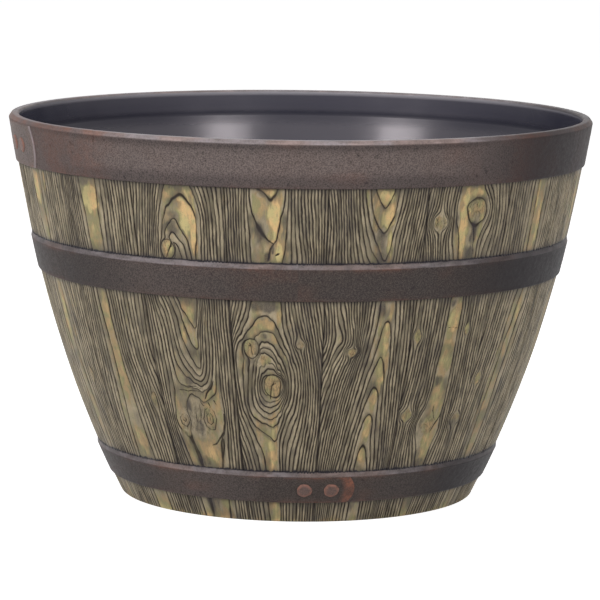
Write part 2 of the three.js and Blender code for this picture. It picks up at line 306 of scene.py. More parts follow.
class Graph:
    """The node tree of a material or world, built by short calls that return outputs."""

    def __init__(self, owner):
        self.owner = owner
        owner.use_nodes = True
        self.tree = owner.node_tree
        self.tree.nodes.clear()

    def put(self, socket, value):
        if isinstance(value, Output):
            self.tree.links.new(value.socket, socket)
        else:
            socket.default_value = value

    def add(self, kind, values, out, **settings):
        """The named output of a new node with these input values and settings."""
        node = self.tree.nodes.new("ShaderNode" + kind)
        count = len(self.tree.nodes)
        node.location = (count % 12 * 200, -(count // 12) * 300)
        for key, value in settings.items():
            setattr(node, key, value)
        for key, value in values.items():
            self.put(node.inputs[key], value)
        return None if out is None else Output(self, node.outputs[out])

    def math(self, operation, a, b=0.0):
        return self.add("Math", {0: a, 1: b}, 0, operation=operation)

    def field(self, name, out="Fac"):
        return self.add("Attribute", {}, out, attribute_name=name)

    def where(self):
        return self.add("TexCoord", {}, "Object")

    def split(self, vector):
        parts = self.add("SeparateXYZ", {0: vector}, 0).socket.node.outputs
        return [Output(self, socket) for socket in parts]

    def join(self, x, y, z):
        return self.add("CombineXYZ", {0: x, 1: y, 2: z}, 0)

    def scaled(self, vector, scale):
        return self.add("VectorMath", {0: vector, 1: scale}, 0, operation="MULTIPLY")

    def noise(self, vector, scale, detail, roughness):
        values = {"Vector": vector, "Scale": scale, "Detail": detail, "Roughness": roughness}
        return self.add("TexNoise", values, "Fac")

    def ease(self, low, high, x, to=(0.0, 1.0)):
        """A smooth step of x between low and high, from to[0] to to[1]."""
        values = {"Value": x, "From Min": low, "From Max": high, "To Min": to[0], "To Max": to[1]}
        return self.add("MapRange", values, "Result", interpolation_type="SMOOTHSTEP")

    def mix(self, share, a, b):
        values = {"Factor": share, 6: a, 7: b}
        return self.add("Mix", values, 2, data_type="RGBA", clamp_factor=True)

    def bump(self, height, strength, distance_mm):
        values = {"Height": height, "Strength": strength, "Distance": distance_mm / 1000}
        return self.add("Bump", values, "Normal")

    def surface(self, colour, rough, specular, normal, **more):
        values = {"Base Color": colour, "Roughness": rough, "Specular IOR Level": specular,
                  "Normal": normal, **more}
        shader = self.add("BsdfPrincipled", values, 0)
        self.add("OutputMaterial", {"Surface": shader}, None)
        return self.owner


def rgb(red, green, blue):
    """A linear colour from 8-bit sRGB values."""
    def linear(v):
        v /= 255
        return v / 12.92 if v <= 0.04045 else ((v + 0.055) / 1.055) ** 2.4
    return (linear(red), linear(green), linear(blue), 1.0)


# ---- Lines of growth ----

# The grain of each stave in the photograph, drawn in azimuths and heights. Numbers with
# commas hold together, and az,z,z is short for az,z az,z.
# lines: the count of a line of growth, and points that it runs through. Counts may fall between
#   two lines, where only the number of lines up to there is known.
# eyes (knots): az,z,half width,half height,rings,share of it that is a bare face
# calm (places without lines): az,z,half width,half height
# patches (of pale paint, or dark where below 0): az,z,half width,half height,strength
# strokes (dark): a width in mm and the points of the stroke
PANELS = {
    # upper row
 "a_up": dict(at=-24.5,
  lines="""
3 -28.1,242,252 -27.9,262 -27.4,271 -26,281 -24.8,287 -23.4,290 -22,285 -20.9,276 -20.5,264
 -20.7,250 -21,236
2 -27.3,250 -27.5,257 -26.9,262.5 -26,266.5 -25.1,268.8 -24.2,263.5 -23.2,255 -22.3,246
 -21.9,236
1 -26.8,251 -26.4,254.5 -25.5,256.8 -24.5,252 -23.5,246 -23,236
0 -26,249.5 -25,246 -24.4,241 -24.2,236
4 -26.7,298 -27.6,286 -28.5,272 -28.8,262 -29,250 -29.3,236
4 -21.2,298 -20.2,286 -19.6,272,255 -19.8,236
6 -28.3,298 -29.4,270 -30.2,236
6 -19.7,298 -18.4,272 -18.5,236
15 -34.5,298
14 -34.5,268
13 -34.5,236
11.5 -14.5,298,268,236""",
  eyes="-27.1,242.5,1.6,8,0,1",
  patches="""
-22.5,274,2.2,18,1 -21.2,250,.8,14,.8 -27,243,1.3,7,.5 -25.3,289,2,8,.35 -25.4,262.5,1.5,7,-.6
 -25,273,1.6,3,-.45 -26.6,296,1.2,4,-.4 -31.5,265,2,30,-.25""",
  strokes="1.1 -26.2,249 -26.4,245 -27,241 -27.6,236"),
 "b_up": dict(at=-4.5,
  lines="""
3 -9.6,298 -9.4,285 -9,275 -8.5,269 -7.7,264 -6.5,257 -5.5,252.5 -4.9,251 -4.4,255 -4.1,262
 -3.6,273 -3,285 -2.7,298
2 -7.2,296 -6.3,291.5 -5.5,289 -4.9,292 -4.2,297
4 -10,298 -9.9,270 -9.8,255 -9.6,236
4 -2.1,298 -2.3,280 -2.5,265 -2.7,250 -3.3,236
8 0.3,298 0.5,270 1.3,236
16 5.5,298,268,236
12 -14.5,298,268,236
2.5 -7.5,285 -5.6,270 -5.2,258""",
  patches="""
-4.8,274,1.4,21,1 -7.9,285,1.3,11,.4 -4,243.5,.8,8,.9 -5.6,295,.9,3,.5 -7.7,262,1.2,8,-.75
 -8.2,247,1.5,9,-.4 -6.3,240,.9,6,-1 -5.2,246.5,.4,5,-1 -13,260,1.5,30,-.3 -7.2,293,.8,2.5,-.6""",
  strokes="""
1.6 -4.9,251 -5.6,246 -5.9,240 -6.2,236
1.5 -3.9,243 -4.6,240.5"""),
 "c_up": dict(at=15.5,
  lines="""
1 14.6,297 15.2,291 15.8,286 16.3,283 16.8,282.5 17.3,286 18,292 18.4,297
2 13.6,297 13.9,288 14.3,279 15,271 15.8,265 16.5,261.3 17,262 17.9,267.5 18.6,277 19.1,289
 19.3,297
3 12.5,297 12.9,285 13.6,272 14.4,262 15.3,252 16.2,244 17,237.5 17.5,236.5 17.9,241 18.7,255
 19.1,268 19.8,280 20.2,297
4 11.9,297 12.3,280 13,265 13.9,252 15,243 15.9,236
4 19.2,238 19.3,255 20,272 21,297
15.5 5.5,298
17 5.5,268
16.5 5.5,236
12.5 25.5,298
13.5 25.5,268
15 25.5,245,236""",
  patches="""
16.6,291,1.6,7,.9 17.2,275,1.6,12,1 15,277,.8,12,.7 18.2,250,.7,14,.9 13,288,.5,10,.5
 16.3,255,1.1,9,-.75 14.6,262,.7,8,.3 16,240,1.5,5,-.6 7.5,270,1.8,40,-.25"""),
 "d_up": dict(at=35.5,
  lines="""
1 38,298 38.8,288 39.7,280 39.9,270 39,258 38.4,248,236
2 38.7,298 39.6,288 40.5,280 40.8,270 39.9,258 39.2,246 39.1,236
9 45.5,298
7.8 45.5,268
8 45.5,236
1 32.5,298 32.2,285 32.3,270 33,260 33.5,250 34,236
2 31.9,298 31.5,280,262 32,250 32.8,236
12.5 25.5,298
11.5 25.5,268
13.5 25.5,236
.5 34.5,292 34,260 35.5,250 35,240""",
  eyes="37,278,1.7,8.5,0,0 28.6,268,1.4,6,0,0",
  calm="28.7,267.5,2,8.5 36.9,277,1.9,8.5",
  patches="""
34,268,1.2,30,1 36.8,291,1.9,5,.65 37.2,280,1.4,6,.4 38.4,262,.5,14,.5 28.7,267.5,1.8,7,.3
 36.7,256,.8,12,-.9 36.6,241,1.4,6,-.9 32.6,266,.6,8,-.8 32.3,295,.8,3,-.7 42,244,3,10,-.2""",
  strokes="""
.8 36,270 36.6,262 37.1,252 37.4,240
.4 35,271,279 35.5,284.5 36.4,286.5 37.8,284.5 38.8,278 39.3,271
.5 35.7,281 36.1,283.5 36.9,282.5,279.5
.6 36.2,277.5 36.8,275.5 37.4,276 37.8,272 38,267
.45 27.6,273 28.1,269 27.7,264
.4 29.2,272 29.6,267.5 29.3,262"""),
 "l_up": dict(at=-44.5,
  lines="""
1 -43.6,298,268 -43.7,236
1 -48.4,298 -48.2,280 -47.7,262 -47.3,236
12 -34.5,298,268,236
11.5 -54.5,298,268,236
.4 -45.8,290,265 -45.4,245""",
  patches="-45.6,280,2.2,15,1 -45.4,248,1.9,14,.3 -51.5,268,3,40,-.3 -47,294,2,4,-.5"),
 "k_up": dict(at=-64.5,
  lines="""
1 -64,298 -64.2,268 -64,236
1 -67.8,298 -67.5,268 -66.8,236
11 -54.5,298,268,236
9 -74.5,298,268,236
.5 -66,290,250""",
  patches="-66.2,280,1.3,18,.8 -62,285,.6,14,.5 -58.5,280,.5,20,.35"),
 "m_up": dict(at=55.5,
  lines="""
1 57.6,298 57.2,268 57.4,236
1 54.4,298,268 54.6,236
10.5 65.5,298,268,236
11 45.5,298,268,236
.5 56,290,250""",
  patches="""
54.8,285,.5,12,.5 56.5,262,.7,24,.55 58.8,280,.3,15,.4 60.3,280,.5,22,.4 49.5,268,2.5,40,-.35"""),
    # lower row
 "a_low": dict(at=-24.5,
  lines="""
1.6 -24.2,198 -23.8,190
2 -26.3,201 -25.5,192 -24.5,185 -23.3,177.5 -22.7,175.3 -22.3,178 -21.9,188 -21.6,201
3 -27,201 -26,190 -25.2,176 -24.4,166 -23.6,159 -23,156.5 -22.4,160 -22,175 -21.2,201
4 -28.3,201 -27.1,188 -26.6,175 -26,163 -25,152 -24,145 -23.1,140.5 -22.5,139.8 -22.1,148
 -21.7,165 -20.8,201
5 -29.2,201 -28,185 -27.6,170 -27.1,156 -26.2,147 -25,139.5 -23.8,134.5 -22.8,132.5 -22,138
 -21.4,152 -21.1,170 -20.4,201
6 -30.1,201 -28.8,185 -28.3,170 -27.9,155 -27.3,146 -26.4,139.5 -25.2,133.5 -24,129.5
 -22.7,127.5 -21.6,132.5 -20.9,145 -20.6,165 -20,201
7 -31,201 -29.6,185 -29,165 -28.7,148 -28,138 -26.8,132 -25.4,128 -24,125.5 -22.6,123 -21.3,127
 -20.4,138 -19.9,155 -19.5,201
8 -31.6,201 -30.3,180 -29.8,155 -29.4,138 -28.9,127 -27,122.5 -25,120.5 -23.5,119.5 -22.2,119
 -20.9,123.5 -19.9,135 -19.2,155 -19,201
9 -18.3,201 -18.4,160 -18.9,135 -19.4,122 -20.4,116 -21.5,112 -22.5,109
9 -30.3,118 -30.9,104,90 -29.9,82 -28,76 -27.1,64 -26.3,50
10 -17.8,201 -17.9,160 -18,135,110 -18.1,95 -18.5,85 -19.3,78 -19.8,68 -20.4,50
11 -17.2,201 -17.3,160 -17.5,120 -17.6,95 -17.8,75 -18.4,50
15.3 -14.5,201
15 -14.5,150
15 -14.5,100
15.5 -14.5,50
13 -34.5,201
13.5 -34.5,150
14.5 -34.5,100
16 -34.5,50
9.7 -26,108 -24.5,100 -25,85 -24,70 -23,55""",
  eyes="-29.2,91,1.2,6,0,0 -21.9,95,1.6,9,0,0",
  calm="-24.3,92,4.2,16 -28.9,86,1.6,11",
  patches="""
-24,190,1.6,9,.7 -25.5,172,.8,14,.7 -22.7,165,.5,12,.5 -19.3,118,.8,22,.8 -22.4,62,1.8,9,.6
 -20,62,.8,10,.5 -20.3,172,.4,30,.4 -26,127,1.2,4,-.6 -27,105,1.1,6,-.6 -24.7,86,1.3,7,-.5
 -25.5,92,4.2,17,-.3 -21.6,94,1,7,.3 -25.6,54,2.4,5,-.9 -31.5,65,3,14,-.5 -23.8,197,.8,4,-.7""",
  strokes="""
1.5 -19.9,129 -20.8,121 -21.8,116.5 -22.4,112
1.4 -18.1,100 -18.2,90 -18.8,82 -20,75.5 -21.3,71.5 -22.4,69
1 -29,117.5 -27,118.5 -25,118 -23,118.5
.9 -28,122.5 -26,121.5 -24.5,122.5 -23,121
1 -24,110 -23.2,105.5 -22.7,105
.8 -21.8,110 -21.4,104
1 -20.4,112 -19.8,107
.8 -21.9,104 -20.6,100.5 -20.1,93 -20.8,85 -22,83.5 -23.1,87 -23.6,94 -23,101 -21.9,104
.7 -21.9,99.5 -21.1,96,91 -21.8,88.5 -22.6,91 -22.7,96 -21.9,99.5
.7 -21.9,95 -21.8,92.5
.7 -24.2,107 -24.1,99 -24.6,92
.6 -25.4,101 -25.6,94 -25.2,88
.8 -29.1,97.5 -28,95 -27.8,89 -28.8,84.5 -30,87 -30.4,93 -29.1,97.5
.7 -29.1,93.5 -28.6,91 -29,88.5 -29.5,90.5 -29.1,93.5
.6 -27.2,84 -27.6,96 -28.4,104
1.6 -19,76 -19.2,68 -19.9,59 -20.3,50"""),
 "b_low": dict(at=-4.5,
  lines="""
1 -8.5,127 -7.9,138 -6.6,143 -5.2,141 -3.9,135 -3.4,128
1 -8.4,118.5 -7.6,113.5 -6.7,111.3 -5.8,112
2 -9.3,127 -8.7,137.5 -7.6,144 -6.3,147 -5,144 -4,138 -3.2,131
2 -9,117.5 -8.2,110.5 -7,107.3 -5.8,107.6 -5,109.8
3 -9.9,128 -9.5,137 -8.6,156.5 -7.4,157 -6.3,154.5 -5.3,149 -4.5,142.5 -3.8,136 -3,130 -2.9,124
3 -9.8,117 -9,108.5 -7.5,103.8 -6,102.5 -5,105 -4.3,109
4 -10.6,128 -10.2,140 -8.7,160 -7.3,161 -6,159.3 -5,154 -4,147 -3.3,140 -2.6,130 -2.7,118
 -3.2,112
4 -10.6,115 -9.8,104.5 -8,98.5 -6,96.5 -4.8,98.5 -3.9,104
5 -11.4,128 -10.9,146 -9.8,160 -8.5,164 -7.3,165 -6,164 -5,160 -4,153 -3.2,146 -2.6,139 -2.1,130
 -2.3,118 -3,110
5 -11.6,108 -10.6,99 -9,94 -7.5,91 -6.3,89.5 -5.2,92 -4.2,98 -3.6,104
6 -12.4,130 -12,150 -11,166 -9.2,171 -8,174 -7,175.5 -6.2,175 -5,172 -4.3,167 -3.4,160 -2.6,153
 -1.9,145 -1.4,130 -1.8,115 -2.9,103
6 -12.3,110 -11,95 -9.5,88 -8,82 -6.5,78.5 -5.5,76 -4.8,80 -4,90 -3.3,98
7 -13.8,140,155 -12.8,166 -11.5,173 -10.3,179 -9,184 -7.6,187.6 -6.7,188.3 -5.5,185 -4.5,179
 -3.8,172 -2.9,163 -1.6,150 -.8,140 -.6,128 -1.1,112 -2.6,97 -3.8,84 -4.4,72 -4.5,50
7 -13.7,128 -13,104 -12,95 -11,85 -10,76 -9,68 -8.4,60 -8.2,50
8 -9.9,201 -10.8,186 -12.4,173 -14.1,160
8 -3.7,201 -3.4,185 -2.4,168 -.9,150 .1,130 -.3,110 -2,92 -3.4,75 -3.8,50
7.7 -6.5,198
6.6 -6.5,60 -6.2,50
14 -14.5,201
11.5 -14.5,175
8.5 -14.5,150,125
9.3 -14.5,100
13 -14.5,50
15 1,201
21.5 5.5,201
20 5.5,170
18 5.5,145
17 5.5,120,95
18 5.5,70
18.5 5.5,50""",
  eyes="-10.3,160.5,1.6,8.6,0,1 -5.8,126.5,1.95,10.6,0,1 .5,164,.8,3.6,0,0",
  calm="-8.4,149.5,1.9,6.5 .6,163.5,.9,4",
  patches="""
-10.3,160.5,1.4,8,.4 -5.8,127,1.8,10,.3 -7,181,2,5,.7 -4,186,.6,12,.6 -5,169,.8,6,.6
 -7,150,1.6,5,.5 -4.3,112,.9,8,.8 -5,94,1.6,12,.8 -6,68,1.5,18,.85 -7.4,171,.8,3,-.7
 -6.5,197,3.6,6,-1 -8.5,88,1.5,4,-.3 -7.5,60,.8,12,-.5 -12.7,125,.7,25,.15 -12,60,2,14,-.35
 -9.3,55,.5,6,.4 .5,163.5,.9,4,.3 -10.4,149,1.2,3,-.5 -8.6,113,1.6,5,-.5""",
  strokes="""
.9 -10.7,165.5 -10.3,163 -10.2,158.5 -10,154
.9 -5.2,132.5 -5.9,127.5 -6.1,121 -6.3,114
.8 -5.9,127.5 -5.3,129.5 -4.8,129
.8 -10.2,163 -10.9,162"""),
 "c_low": dict(at=15.5,
  lines="""
1 15.7,50 16,62 16.7,69.5 17.4,71 17.9,69 18.4,64 18.9,57 19.3,50
2 14.5,50 14.8,60 15.3,74 15.9,86 16.5,94 17.1,98.5 17.8,99.8 18.3,98 18.8,90 19,80 19.4,67
 20.2,50
3 13.7,50 14.2,66 15,85 15.8,101 16.4,110 17,118 17.6,123.5 18.2,124.8 18.9,122 19.4,113
 19.6,100 19.9,87 20.5,69 21.2,50
4 12.6,50 13,62 13.9,80 14.9,99 15.7,115 16.4,128 17,137 17.8,146 18.3,151 18.7,152.3 19.2,149
 19.8,140 20.2,131 20.4,119 20.6,105 21,89 21.5,70 22.1,50
5 11.5,50 12.1,62 13,81 14,101 15,120 15.9,136 16.7,147 17.3,155 17.9,165 18.3,174 18.7,181
 19.2,183 19.8,181.5 20.3,177 20.6,168 20.8,155 21,138 21.2,122 21.5,104 22,80 22.8,50
6 10.6,50 12,81 13.2,105 14.4,129 15.4,146 16.3,161 16.9,176 17.2,190 17.4,201
6 20.7,201 21.1,185 21.5,160 21.7,130 22.3,100 23,72 23.7,50
5.6 19,197
.3 17.4,53
10 14.1,201 14,182 13.7,168 12.6,143 11,116 9.7,86 8.4,50
15 11,201 11.4,185 12,167
14 10.8,147 9.5,130 8.3,110
19 8,201 8.6,184 9.7,167
17 8.6,147 7.4,130 6.2,112
22.5 5.5,201
24 5.5,170
21 5.5,145
18.5 5.5,120
16 5.5,86
14.5 5.5,50
12 25.5,201
11.5 25.5,170
11 25.5,145
11 25.5,120
10.5 25.5,95
10 25.5,50""",
  eyes="12,157,.9,3,0,0",
  calm="11.4,157,1.8,3",
  patches="""
19.5,168,.8,20,1 20.1,140,.5,18,.9 19,134,.9,16,.7 18.1,112,.8,14,.95 17.5,88,.9,12,1
 17.1,62,1.1,9,.7 19.9,192,.5,10,.6 17.8,195,1.1,8,-.85 17.8,176,.7,6,.4 16.2,103,.4,10,.3
 10,185,4,18,.25 11.4,157,1.7,4,.35 16.6,54,1.2,4,-.7""",
  strokes=".4 11.7,159 12.3,158 12.2,155.5 11.6,156"),
 "d_low": dict(at=35.5,
  lines="""
1 33.8,201,180 33.7,160 33.4,140 33.5,120 33.1,108 32.4,98 31.9,88 32.1,78 32.9,67 33.6,57
 34.1,50
1 37.2,201 37.4,180 37.6,160 37.7,140 38.1,120 38.3,105 38.2,92 38.6,82 38.1,72 37.6,60 37.4,50
2 33.1,201 33,160 32.7,130 32.5,108 31.6,96 31.1,86 31.3,76 32.2,62 33,50
2 37.9,201 38.4,160 38.7,130 39.1,105 39.2,90 39.4,80 38.7,66 38.1,50
.6 35.5,195,150,110,65
12 25.5,201,145
11.5 25.5,120
10.5 25.5,95
10.5 25.5,70,50
11 45.5,201,150
9.5 45.5,100
9 45.5,50""",
  eyes="""
27,168.5,.8,4,0,0 27.7,97.5,1.4,4.5,0,0 34.4,87,1.7,8,0,0 40,172,.6,4,0,0 43.8,89.5,1.3,4.5,0,0""",
  calm="26.8,169,1.1,5.5 27.6,98,1.7,5.5 34.6,87,2,8 40,172,.8,5 43.8,89.5,1.5,5",
  patches="""
35.7,182,1.6,16,1 35.6,152,1.7,18,.65 35.7,112,1.8,12,.5 36,68,1.8,12,.6 37.5,100,.5,10,.5
 34.8,127,1.1,5,-.9 34.9,196,1,5,-.8 34,100,1,6,-.4 27,168.5,.9,6,.4 27.7,97.5,1.6,5,.4
 40,172,.8,5,.35 43.8,91,1.5,4,.35 43.8,86,1.2,3,-.4 34,62,.9,6,-.6 34.4,86,1.4,6,.25
 35.5,52,2.2,4,-.7 29.5,140,2,30,-.2""",
  strokes="""
1.2 38.2,120 38.5,104 38.1,95 37.2,89 36.5,83 36,80
.8 35.2,105 35.4,99 36.2,93 37,90
.5 33.8,88 34.3,86 34.9,85
.4 33.1,92 32.8,86 33.6,80.5 34.8,79
.4 34.4,92 35.4,90 35.6,86
.6 34,174 35.5,174.6 37.2,174
.4 26.5,171 27.2,168.5 27.6,166
.4 43,91 43.9,88.5 44.7,90.5"""),
 "l_low": dict(at=-44.5,
  lines="""
1 -48.3,201 -48,180 -47.6,150 -47.5,110 -48.5,75 -48.7,50
1 -45.4,201 -45.2,180 -44.9,150 -44,115 -43.4,80 -42.7,50
.6 -46.7,190 -46,140,100 -45.8,65
4 -42.9,201 -42.6,150
8.5 -38.6,201 -38.2,150
12.5 -34.5,201,150
9.7 -34.5,100
9 -34.5,50
8.5 -54.5,201
7.5 -54.5,150
6 -54.5,100,50""",
  eyes="-37,107,.8,6,0,0",
  calm="-37,107,.8,6",
  patches="-46.7,180,1.1,20,.8 -45.4,66,2,13,.9 -46,125,1.2,30,.35"),
 "k_low": dict(at=-64.5,
  lines="""
1 -64.6,201 -64.4,150 -64,100,50
1 -67,201 -66.8,150,100 -66.4,50
9.5 -54.5,201,150,100,50
7.5 -74.5,201,150,100,50
.6 -65.8,180 -65.6,120 -65.4,70""",
  eyes="-60,118,.8,5,0,0",
  calm="-60,118,.9,5",
  patches="-65.7,170,.9,30,.8 -65.3,80,.9,25,.4"),
 "m_low": dict(at=55.5,
  lines="""
1 59,201 58,180 56.9,150 56.2,120 56.6,50
1 56.6,201 55.2,170 53.9,140 53.4,110 54,50
9 65.5,201,150,100,50
11 45.5,201
10 45.5,150
8.5 45.5,100,50
.6 57.4,190 55.3,150 54.8,110 55.3,70""",
  eyes="47.8,124.5,.8,4,0,0",
  calm="47.8,124.5,1,5",
  patches="57,182,.8,14,.9 55.4,152,.8,20,.8 47.8,124.5,1,5,.4 55.2,85,1.1,22,.35"),
}

# Staves from the joint right of the front, and which design, mirrored or not, each carries
DESIGNS = ["c", "d", "m", "k-", "a-", "l-", "b-", "d-", "c-", "a", "m-", "b", "k", "l-", "k", "l",
           "a", "b"]
IN_VIEW = (0, 1, 2, 14, 15, 16, 17)     # these carry a design just where the photograph shows it
DESIGN_SHIFT = 9.0                      # how far it is moved up or down on the others
ROWS = {"foot": (0.0, 21.0), "low": (45.5, 203.5), "up": (232.5, 300.0)}
FOOT_ROWS = [0.0, 0.25, 0.6, 1.1, 1.7]  # finer rows for the round of the lower edge
FOOT_ROWS_END = 2.2

SPREAD = 3.7     # mm in a degree of azimuth, at mid height
FLAT = 0.30      # heights count for less, so that lines of growth run along the stave
EASE = 0.6       # how freely the fitted sheet may pass its points
FAR = 9.0        # a distance from a stroke at which it doesn't show
CHUNK = 20000    # points read at a time


# ---- Grain of one stave ----

def groups_of(text):
    return [tuple(float(v) for v in word.split(",")) for word in (text or "").split()]


def paths_of(text):
    """Paths from a text in which a number of its own starts each one: the number and the points."""
    paths = []
    for first, *heights in groups_of(text):
        if heights:
            paths[-1][1].extend((first, z) for z in heights)
        else:
            paths.append((first, []))
    return paths


def kernel(a, b):
    d2 = (a[:, None, 0] - b[None, :, 0]) ** 2 + (a[:, None, 1] - b[None, :, 1]) ** 2
    return d2 * np.log(d2 + 1e-9) * 0.5


def fit_sheet(lines):
    """A thin plate through the counted lines of growth: its points and weights."""
    paths = paths_of(lines)
    q = np.array([point for _, path in paths for point in path]) * [SPREAD, FLAT]
    values = [count for count, path in paths for _ in path]
    n = len(q)
    m = np.zeros((n + 3, n + 3))
    m[:n, :n] = kernel(q, q) + np.eye(n) * EASE
    m[:n, n] = m[n, :n] = 1
    m[:n, n + 1:] = q
    m[n + 1:, :n] = q.T
    return q, np.linalg.solve(m, np.concatenate([values, [0, 0, 0]]))


def read_sheet(sheet, a, z):
    q, weights = sheet
    n = len(q)
    at = np.stack([a.ravel() * SPREAD, z.ravel() * FLAT], 1)
    out = np.empty(len(at))
    for i in range(0, len(at), CHUNK):
        part = at[i:i + CHUNK]
        out[i:i + CHUNK] = kernel(part, q) @ weights[:n] + weights[n] + part @ weights[n + 1:]
    return out.reshape(a.shape)


def segment_distance(x, y, p, q):
    dx, dy = q[0] - p[0], q[1] - p[1]
    t = np.clip(((x - p[0]) * dx + (y - p[1]) * dy) / (dx * dx + dy * dy + 1e-9), 0, 1)
    return np.hypot(x - p[0] - t * dx, y - p[1] - t * dy), t


def read_panel(panel, a, z, seed):
    """Lines of growth, bare faces, pale patches and dark strokes at azimuths and heights."""
    def vary(width, length, offset, shift=0.0):
        return noise(a * width + shift, z / length, seed + offset)

    a2 = a + (0.10 * vary(0.8, 16, 0) + 0.05 * vary(2.3, 7, 1) + 0.035 * vary(4, 2.6, 5))
    z2 = z + 1.2 * vary(0.9, 10, 2)
    rings, face, calm, patch = np.zeros((4, *a.shape))
    stroke = np.full_like(a, FAR)
    warped = a2.copy()
    for ea, ez, ra, rz, count, share in groups_of(panel.get("eyes")):
        rho = np.hypot((a2 - ea) / ra, (z2 - ez) / rz) * (1 + 0.06 * vary(1.1, 5, 3, ez))
        reach = 0.45 if share == 1 else 1.6
        warped -= (a2 - ea) * np.where(rho < 1, 1.0, np.exp(-(rho**2 - 1) / reach))
        rings += count * np.clip(1 - rho, 0, 1)
        if share:
            face = np.maximum(face, 1 - smooth(share * 0.9, share * 1.02, rho))
            half = 0.3 * smooth(-1.0, -0.3, vary(1.4, 4, 6, ea)) + 0.1
            stroke = np.minimum(stroke, np.abs(rho - share) * min(ra * SPREAD, rz) / half)
    for ca, cz, ra, rz in groups_of(panel.get("calm")):
        calm = np.maximum(calm, 1 - smooth(0.75, 1.1, np.hypot((a2 - ca) / ra, (z2 - cz) / rz)))
    count = read_sheet(panel["sheet"], warped, z2) + rings
    for pa, pz, ra, rz, strength in groups_of(panel.get("patches")):
        rho = np.hypot((a - pa) / ra, (z - pz) / rz) + 0.3 * vary(1.5, 6, 4)
        patch += strength * (1 - smooth(0.55, 1.25, rho))
    for width, path in paths_of(panel.get("strokes")):
        path = [(pa * SPREAD, pz) for pa, pz in path]
        for i, (p, q) in enumerate(zip(path, path[1:])):
            away, t = segment_distance(a2 * SPREAD, z2, p, q)
            along = (i + t) / (len(path) - 1)
            half = width / 2 * np.sqrt(np.clip(1.15 - (2 * along - 1) ** 2, 0.1, 1))
            stroke = np.minimum(stroke, away / half)
    return count, face, calm, np.clip(patch, -1, 1), stroke


def stave_grain(index, zone, t, z):
    """The stave's design on rows z and columns t, in degrees from the stave's middle."""
    design = DESIGNS[index]
    mirrored = design.endswith("-")
    panel = PANELS[design[0] + ("_up" if zone == "up" else "_low")]
    turned, height = np.meshgrid(-t if mirrored else t, z)
    look = height + (0.0 if index in IN_VIEW else DESIGN_SHIFT * math.sin(index * 2.4))
    if zone == "foot":
        look = 46 + height * 0.35
    grain = read_panel(panel, turned + panel["at"], look, seed=index * 31 + len(zone))
    count, face, calm, patch, stroke = grain
    if zone == "foot":
        face, calm, stroke = face * 0, calm * 0, stroke * 0 + FAR
    return -count if mirrored else count, face, calm, patch, stroke, turned, height


